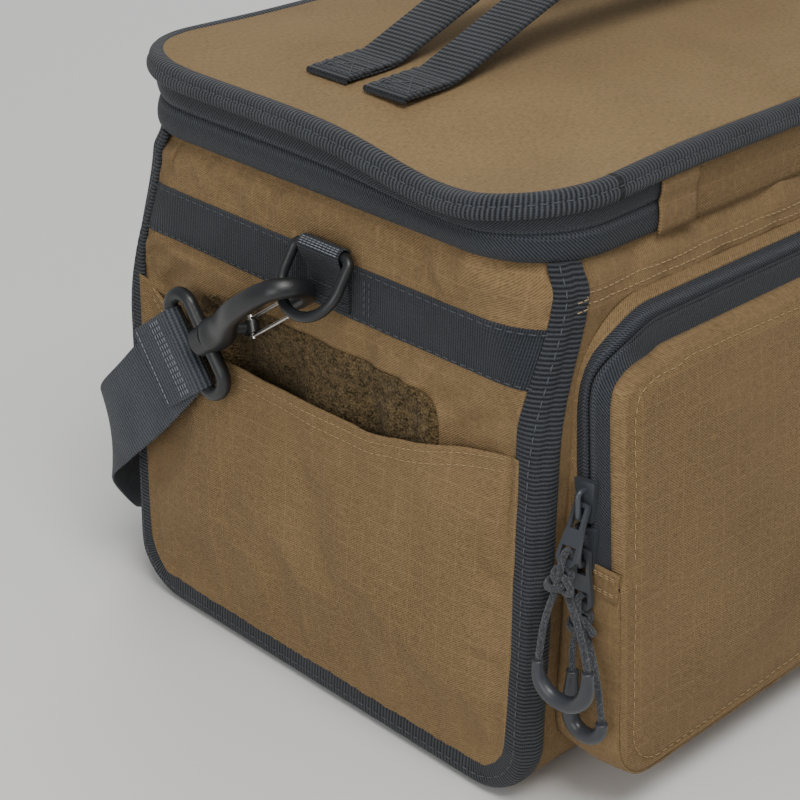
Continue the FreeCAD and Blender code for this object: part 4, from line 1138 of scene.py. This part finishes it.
def build_handles():
    """Two webbing handles on the lid, with their ends turned under and sewn in a crossed box."""
    low = 287.4
    for name, y, seed in (("front", -8.5, 1.0), ("rear", 26.5, 2.0)):
        path = rounded([(-168, low), (-140, low), (-68, 314.8), (0, 317.2), (68, 314.8), (140, low),
                        (168, low)], [0, 45, 90, 300, 90, 45, 0], 2.5)
        base = lid_height(path[:, 0], y) + 1.1
        z = np.maximum(path[:, 1], base)
        line = np.column_stack([path[:, 0], np.full(len(path), y), z])
        t = tangents(line)
        twist = np.radians(1.5 * np.sin(path[:, 0] / 60 + seed))
        wide = np.column_stack([np.zeros(len(t)), np.cos(twist), np.sin(twist)])
        obj = sweep(f"handle_{name}", line, wide, unit(np.cross(t, wide)),
                    strip(WEBBING_WIDE, 1.5, 0.15), HANDLE)
        on(obj, "lid", "grey_webbing", f"handle_strap_{name}")
        for word, side in SIDES:
            turned = [(side * (168.8 + 0.9 * math.cos(a)), y, lid_height(169, y) + 1.7 + 0.9 * math.sin(a))
                      for a in np.linspace(-1.4, 1.4, 6)]
            end = [(side * x, y, lid_height(x, y) + 2.6 + 0.3 * math.sin(x))
                   for x in np.linspace(168.5, 138, 18)]
            fold = np.array(turned + end)
            wide = np.tile((0, 1.0, 0), (len(fold), 1))
            obj = sweep(f"handle_{name}_end_{word}", fold, wide, np.cross(tangents(fold), wide),
                        strip(WEBBING_WIDE, 1.2), HANDLE, flip=side > 0)
            on(obj, "lid", "grey_webbing")
            top = lid_height(158, y) + 3.35
            box = [(142, -9.5), (165, -9.5), (165, 9.5), (142, 9.5), (142, -9.5)]
            crossed = [((142, -9.5), (165, 9.5)), ((142, 9.5), (165, -9.5))]
            for (x0, y0), (x1, y1) in [*zip(box, box[1:]), *crossed]:
                row = np.linspace((side * x0, y + y0, top), (side * x1, y + y1, top), 8)
                stitch("lid", row, (0, 0, 1), pitch=2.9, long=2.5, thick=0.55, thread="grey", lift=0.05)


# ------------------------------------------------------------------ shoulder strap

# The left half from hook to floor: the webbing's middle, the direction across it, and its face's.
STRAP_ROUTE = [
    ((-220.1, 68.2, 158.0), (0, -0.596, -0.803), (-1, 0, 0)),
    ((-219, 100, 124), (0, -0.717, -0.697), (-1, 0, 0)),
    ((-216, 127, 98), (-0.121, -0.676, -0.727), (-0.96, 0.24, -0.10)),
    ((-204, 145, 79), (-0.405, -0.425, -0.81), (-0.65, 0.75, -0.08)),
    ((-187, 151, 60), (-0.688, -0.101, -0.718), (-0.15, 0.98, 0.05)),
    ((-171, 154, 40), (-0.746, 0.161, -0.646), (0.12, 0.94, 0.28)),
    ((-155, 158, 22), (-0.617, 0.658, -0.432), (0.22, 0.68, 0.69)),
    ((-136, 162, 11.8), (-0.265, 0.959, -0.102), (0.12, 0.22, 0.96)),
    ((-114, 163, 10.2), (0, 1, 0), (0, 0, 1)),
]
HOOK_ALONG = np.array((-0.005, 0.803, -0.596))  # away from the left hook, along the webbing
HOOK_DOWN = np.array((0.0, -0.596, -0.803))     # across the webbing there
SWIVEL_BAR = np.array((-220.1, 64.2, 161.0))    # the middle of the left hook's webbing bar


def route_between(a, b, c, d, t):
    """A Catmull-Rom curve from b to c, with its neighbours a and d."""
    square, cube = 2 * a - 5 * b + 4 * c - d, 3 * b - a - 3 * c + d
    return 0.5 * (2 * b + (c - a) * t + square * t ** 2 + cube * t ** 3)


def mirrored_points(points, side):
    """Points for the left side, turned over for the right."""
    points = np.array(points, float)
    points[..., 0] *= -side
    return points


def build_strap():
    """Shoulder webbing, its sewn folds at both hooks, and the cushion on it."""
    rows = np.array(STRAP_ROUTE, float)
    padded = np.concatenate([rows[:1], rows, rows[-1:]])
    left = np.array([route_between(*padded[i:i + 4], t) for i in range(len(rows) - 1)
                     for t in np.linspace(0, 1, 12)[:-1]])
    floor = [np.array([(x, 163, 10.2), (0, 1, 0), (0, 0, 1)], float) for x in np.linspace(-114, 114, 70)]
    right = left[::-1].copy()
    right[..., 0] *= -1
    all_rows = np.concatenate([left, floor, right])
    centre, wide, face = all_rows[:, 0], unit(all_rows[:, 1]), all_rows[:, 2]
    face = unit(face - wide * (face * wide).sum(1)[:, None])
    obj = sweep("shoulder_webbing", centre, wide, face, strip(STRAP_WIDE, 1.7), STRAP)
    on(obj, "root", "grey_webbing", "shoulder_strap")
    out = np.array((-1.0, 0, 0))
    for name, side in SIDES:
        turn = [SWIVEL_BAR + 4.3 * (out * math.cos(a) - HOOK_ALONG * math.sin(a))
                for a in np.linspace(0, math.pi, 10)]
        outer = [SWIVEL_BAR + HOOK_ALONG * d + out * h
                 for d, h in ((31, 2.0), (25, 2.1), (19, 2.3), (11, 3.0), (4, 4.1))]
        inner = [SWIVEL_BAR + HOOK_ALONG * d - out * h
                 for d, h in ((4, 3.6), (9, 2.2), (16, 1.6), (24, 1.5))]
        line = spaced(mirrored_points(outer + turn + inner, side), 1.6)
        down = mirrored_points(np.tile(HOOK_DOWN, (len(line), 1)), side)
        obj = sweep(f"strap_fold_{name}", line, down, unit(np.cross(tangents(line), down)),
                    strip(STRAP_WIDE, 1.5), STRAP, flip=side > 0)
        on(obj, "root", "grey_webbing")
        for d, h in ((7.5, 4.4), (9.8, 4.1), (12.1, 3.9), (14.4, 3.7), (28, 3.05)):
            middle = SWIVEL_BAR + HOOK_ALONG * d + out * h
            row = mirrored_points(np.linspace(middle - HOOK_DOWN * 18.5, middle + HOOK_DOWN * 18.5, 10), side)
            stitch("root", row, (side, 0, 0), pitch=2.7, long=2.4, thick=0.6, thread="pale", lift=0.05)
    pad, rings, corners = [], 61, 28
    for u in np.linspace(-1, 1, rings):
        reach = abs(u)
        half = 28.4 * (1 - max(0, (reach - 0.72) / 0.28) ** 2.4 * 0.55)
        ring = []
        thick = 3.7 * (1 - reach ** 8) + 0.25
        for k in range(corners):
            a = 2 * math.pi * k / corners
            cy, cz = math.cos(a), math.sin(a)
            ring.append((-20 + 79.4 * u, 163 + half * np.sign(cy) * abs(cy) ** 0.45,
                         4.7 + thick * np.sign(cz) * abs(cz) ** 0.75 - 0.25 * math.cos(u * 9) * (cz > 0)))
        pad.append(ring)
    obj = lattice("shoulder_cushion", np.array(pad), PAD_CLOTH, wrap=(False, True))
    cap_ends(obj, rings, corners)
    on(obj, "shoulder_pad", "grey_padding", "shoulder_pad")


# ------------------------------------------------------------------ zip pulls

# Each pull: how far up the zip its slider is, how far its tab leans out (degrees), the two
# ends of its grip and the height of the grip's lowest point.
PULLS = {
    1: (33, 26, (-206.5, -138.4, 88), (-205, -163.1, 93.2), 72.5),
    2: (12, 3, (-192, -145, 79), (-192, -162, 61.2), 50.8),
}
ZIP_LEAN = math.atan2(CLOSING_LOW - CLOSING_TOP, CLOSING_BEND - POCKET_SPLIT)
PIN_OUT = 4.3           # the tab's pin, outside the pocket's side
TAB_SLOT = 20           # the cord's slot, below the pin
KNOT_DROP = 12          # the knot's middle, below the slot
CORD = 1.5              # cord radius
CORD_ASIDE = 2.85       # the cord's middle, either side of the tab


def pull_frame(number):
    """The tab's slot and the directions down the tab and out from it."""
    rise, swing = PULLS[number][0], math.radians(PULLS[number][1])
    along = np.array((0, math.sin(ZIP_LEAN), math.cos(ZIP_LEAN)))
    down = -math.sin(swing) * np.array((1.0, 0, 0)) - math.cos(swing) * along
    out = -math.cos(swing) * np.array((1.0, 0, 0)) + math.sin(swing) * along
    start = np.array((-POCKET_X, -HALF_Y - CLOSING_LOW, POCKET_SPLIT))
    pin = start + along * rise - (PIN_OUT, 0, 0) - along
    return pin + down * TAB_SLOT, down, out


def nurbs(name, points, radius, mat):
    """A round cord along one smooth curve."""
    data = bpy.data.curves.new(name, "CURVE")
    data.dimensions = "3D"
    data.bevel_depth, data.bevel_resolution, data.resolution_u = radius, 4, 12
    data.use_fill_caps = True
    spline = data.splines.new("NURBS")
    spline.points.add(len(points) - 1)
    for p, co in zip(spline.points, points):
        p.co = (*co, 1)
    spline.order_u = 3
    spline.use_endpoint_u = True
    data.materials.append(mat)
    obj = bpy.data.objects.new(name, data)
    bpy.context.scene.collection.objects.link(obj)
    return obj


def build_pulls():
    """Cord, knot and moulded grip on each of the pocket's two pull tabs."""
    for number, (_, _, first, second, low) in PULLS.items():
        body = f"pocket_puller_{number}"
        slot, down, out = pull_frame(number)
        across = unit(np.cross(down, out))
        knot = slot + down * KNOT_DROP
        first, second = np.array(first, float), np.array(second, float)
        span = math.hypot(second[0] - first[0], second[1] - first[1])
        feet = [np.array((*end[:2], low)) for end in (first, second)]
        line = rounded([first, *feet, second], [0, 0.48 * span, 0.48 * span, 0], 1.0)
        share = np.linspace(0, 1, len(line))
        near = np.minimum(share, 1 - share)
        radius = 2.5 + 1.15 * smooth(0.0, 0.30, near) + 0.35 * hump(near, 0.012, 0.02)
        grip = tube_along(f"grip_{number}", line, radius, RUBBER, 16)
        soften(grip)
        on(grip, body, "grip_rubber", f"pull_grip_{number}")
        strands = []
        for k, (end, sign) in enumerate(((first, 1), (second, -1))):
            middle = (knot + end) / 2 + (0, 2.5 * sign, 0)
            aside = out * sign * CORD_ASIDE
            points = [slot - down * 0.7, slot + aside - down * 0.7, slot + aside + down * 5.4,
                      knot + out * sign * 1.8 - down * 2, knot + out * sign * 0.9 + (middle - knot) * 0.2,
                      middle, end + (middle - end) * 0.25, end - (0, 0, 2)]
            strand = nurbs(f"pull_strand_{number}_{'ab'[k]}", to_row(points), CORD * MM, CORD_MAT)
            strands.append((on(strand, body, "pull_cord", f"pull_cord_{number}"), to_row(points[:1])[0]))
        turns = []
        for angle in np.linspace(0, 2 * math.pi, 90, endpoint=False):
            wide = (math.sin(angle) + 2 * math.sin(2 * angle)) * 2.35
            tall = (math.cos(angle) - 2 * math.cos(2 * angle)) * 1.9
            turns.append(knot + across * wide + down * tall - out * 1.7 * math.sin(3 * angle))
        tie = tube_along(f"pull_knot_{number}", turns, CORD, CORD_MAT, closed=True)
        on(tie, body, "pull_cord")
        for k, (strand, start) in enumerate(strands):
            curve_length(strand)


def curve_length(obj):
    """The length of a curve object's spline, in metres."""
    probe = obj.copy()
    probe.data = obj.data.copy()
    probe.data.bevel_depth = 0
    bpy.context.scene.collection.objects.link(probe)
    bpy.context.view_layer.update()
    mesh = bpy.data.meshes.new_from_object(probe.evaluated_get(bpy.context.evaluated_depsgraph_get()))
    pts = np.array([v.co for v in mesh.vertices])
    bpy.data.objects.remove(probe)
    return float(distances(pts)[-1])


# ------------------------------------------------------------------ inside

def build_inside():
    """The fire-resistant liner and the two padded dividers."""
    line = rounded([(-123, 250), (-123, 6.6), (123, 6.6), (123, 250)], [0, 24, 24, 0], 4)
    t = tangents(line)
    inward = np.stack([-t[:, 1], t[:, 0]], 1)
    xs = np.linspace(-191, 191, 70)
    s, x = grid(np.arange(len(line)), xs)
    puff = 1.0 * np.abs(np.sin(math.pi * x / 48)) * smooth(191, 180, np.abs(x))
    y = line[s, 0] + inward[s, 0] * (0.4 + puff)
    z = line[s, 1] + inward[s, 1] * (0.4 + puff)
    along = (np.arange(len(line)) * 4.0)[s]
    liner = lattice("liner_cloth", shaped(np.stack([x, y, z], -1)), FIRE_CLOTH, np.stack([x, along], -1),
                    flip=True)
    thicken(liner, 0.8, -1.0)
    on(liner, "root", "fire_cloth", "fire_liner", "front_foam", "back_foam", "base_board")
    for name, side in SIDES:
        zs, us = np.linspace(7, 250, 50), np.linspace(-1, 1, 50)
        z, u = grid(zs, us)
        y = u * narrowed(z, 7, 122.4, 23)
        puff = np.abs(np.sin(math.pi * y / 48)) * smooth(1.0, 0.95, np.abs(u))
        x = side * (191.4 - 1.0 * puff)
        liner = lattice(f"liner_end_{name}", shaped(np.stack([x, y, z], -1)), FIRE_CLOTH,
                        np.stack([y, z], -1), flip=side > 0)
        thicken(liner, 0.8, -1.0)
        on(liner, "root", "fire_cloth", f"end_foam_{name}")
        middle = side * 64
        rings = []
        for z in np.linspace(8.0, 214.6, 60):
            half = narrowed(z, 7.6, 119.6, 22)
            thick = 2.9 * min(1.0, ((214.8 - z) / 2.4) ** 0.5 if z > 212.4 else 1.0)
            ring = []
            for k in range(44):
                a = 2 * math.pi * k / 44
                ca, sa = math.cos(a), math.sin(a)
                pad = 1 - 0.18 * abs(math.cos(math.pi * z / 70))
                ring.append((middle + thick * pad * np.sign(sa) * abs(sa) ** 0.35,
                             half * np.sign(ca) * abs(ca) ** 0.25, z))
            rings.append(ring)
        board = lattice(f"divider_cloth_{name}", np.array(rings), BRUSHED, wrap=(False, True))
        cap_ends(board, 60, 44)
        on(board, "root", "divider_cloth", f"divider_{name}")


# ------------------------------------------------------------------ making everything

def hem_stitches(side, cloth):
    """Two rows of stitches under the slip pocket's hem."""
    tree = surface_of(cloth)
    for drop in (2.2, 7.5):
        row = []
        for y in np.linspace(-112, 112, 120):
            z = float(HEM(-side * y)) - drop
            row.append((hit_x(tree, side, y, z, 205), y, z))
        stitch("root", np.array(row), (side, 0, 0), pitch=3.6, long=2.6, thick=0.42, lift=0.12)


def front_stitches(cloth):
    """Two rows of stitches along the front's seam, above the pocket."""
    tree = surface_of(cloth)
    for z in (233.4, 237.6):
        row = []
        for x in np.linspace(-186, 186, 160):
            place = tree.ray_cast(Vector((x * MM, -0.3, z * MM)), Vector((0, 1, 0)), 0.3)[0]
            row.append((x, (place.y / MM - BAG_Y) if place else -131, z))
        stitch("root", np.array(row), (0, -1, 0), pitch=3.6, long=2.7, thick=0.6, lift=0.15)


def build_body():
    """The settled cloth walls and what is sewn on them."""
    ends = {name: end_skin(name, side) for name, side in SIDES}
    sleeves = {name: sleeve(name, side) for name, side in SIDES}
    wrap = body_wrap()
    settle()
    for name, side in SIDES:
        thicken(ends[name], 1.0, -1.0, 1)
        on(ends[name], "root", "coyote_ripstop", f"end_panel_{name}")
        thicken(sleeves[name], 1.1, -1.0, 1)
        on(sleeves[name], "root", "coyote_ripstop", f"slip_pocket_{name}")
        on(edge_tape(name, side), "root", "grey_binding", f"edge_binding_{name}")
        bpy.context.view_layer.update()
        on(loop_patch(name, side, surface_of(ends[name])), "root", "loop_pile", f"loop_panel_{name}")
        on(side_webbing(name, side, ends[name]), "root", "grey_webbing", f"side_strap_{name}")
        on(ring_webbing(name, side), "root", "grey_webbing", f"ring_loop_{name}")
        hem_stitches(side, sleeves[name])
    thicken(wrap, 1.0, -1.0, 1)
    on(wrap, "root", "coyote_ripstop", "front_panel", "back_panel", "bottom_panel")
    front_stitches(wrap)


build_body()
pocket_face(*pocket_tapes())
build_rim()
build_hinge()
build_lid()
build_handles()
build_strap()
build_pulls()
build_inside()
sew()

# ------------------------------------------------------------------ hard parts keep their CAD shape

FINISH = {"d_ring": BLACK, "snap_hook": BLACK, "swivel_loop": BLACK, "tri_glide": BLACK, "hook_gate": STEEL,
          "pocket_slider": ENAMEL, "pocket_puller": ENAMEL, "lid_slider": ENAMEL, "lid_puller": ENAMEL}
for label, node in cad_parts.items():
    for start, mat in FINISH.items():
        if label.startswith(start):
            node.data.materials.clear()
            node.data.materials.append(mat)
            node.data.polygons.foreach_set("use_smooth", np.ones(len(node.data.polygons), bool))
            edge = node.modifiers.new("edges", "BEVEL")
            edge.width, edge.segments, edge.limit_method = 0.35 * MM, 2, "ANGLE"
            edge.angle_limit = math.radians(40)
            edge.use_clamp_overlap = True

# ------------------------------------------------------------------ floor, light and camera

bpy.ops.mesh.primitive_plane_add(size=8, location=(0, 0, 0))
floor = bpy.context.object
floor.name = "floor"
pale, tree, shader = nodes_of("pale_floor")
shader.inputs["Base Color"].default_value = (0.80, 0.80, 0.79, 1)
shader.inputs["Roughness"].default_value = 0.7
floor.data.materials.append(pale)

world = bpy.data.worlds.new("studio")
bpy.context.scene.world = world
world.use_nodes = True
world.node_tree.nodes["Background"].inputs[0].default_value = (0.97, 0.98, 1.0, 1)
world.node_tree.nodes["Background"].inputs[1].default_value = 0.38


def softbox(name, place, target, size, power, colour=(1, 1, 1)):
    """A soft rectangular lamp."""
    data = bpy.data.lights.new(name, "AREA")
    data.shape, data.size, data.size_y = "RECTANGLE", size[0], size[1]
    data.energy, data.color = power, colour
    lamp = bpy.data.objects.new(name, data)
    lamp.location = place
    lamp.rotation_mode = "QUATERNION"
    lamp.rotation_quaternion = (Vector(target) - Vector(place)).to_track_quat("-Z", "Y")
    bpy.context.scene.collection.objects.link(lamp)


softbox("key", (-0.7, -0.9, 2.1), (-0.1, 0, 0.15), (1.0, 1.0), 34, (1.0, 0.98, 0.95))
softbox("fill", (-1.9, -0.5, 0.8), (-0.2, 0, 0.15), (1.1, 0.9), 11, (1.0, 0.99, 0.98))
softbox("back", (1.0, 1.5, 1.3), (0, 0, 0.2), (1.2, 1.0), 10)

camera_data = bpy.data.cameras.new("camera")
camera = bpy.data.objects.new("camera", camera_data)
bpy.context.scene.collection.objects.link(camera)
bpy.context.scene.camera = camera
camera_data.sensor_width, camera_data.lens = 36.0, 89.7
camera_data.shift_x, camera_data.shift_y = 0.05, -0.039
right, up, back = (Vector(v).normalized() for v in ((0.718, -0.696, 0.007), (0.305, 0.324, 0.896),
                                                    (-0.625, -0.641, 0.445)))
camera.matrix_world = Matrix(((right.x, up.x, back.x, -0.730), (right.y, up.y, back.y, -0.570 + BAG_Y * MM),
                              (right.z, up.z, back.z, 0.554), (0, 0, 0, 1)))
camera_data.clip_start, camera_data.clip_end = 0.01, 50
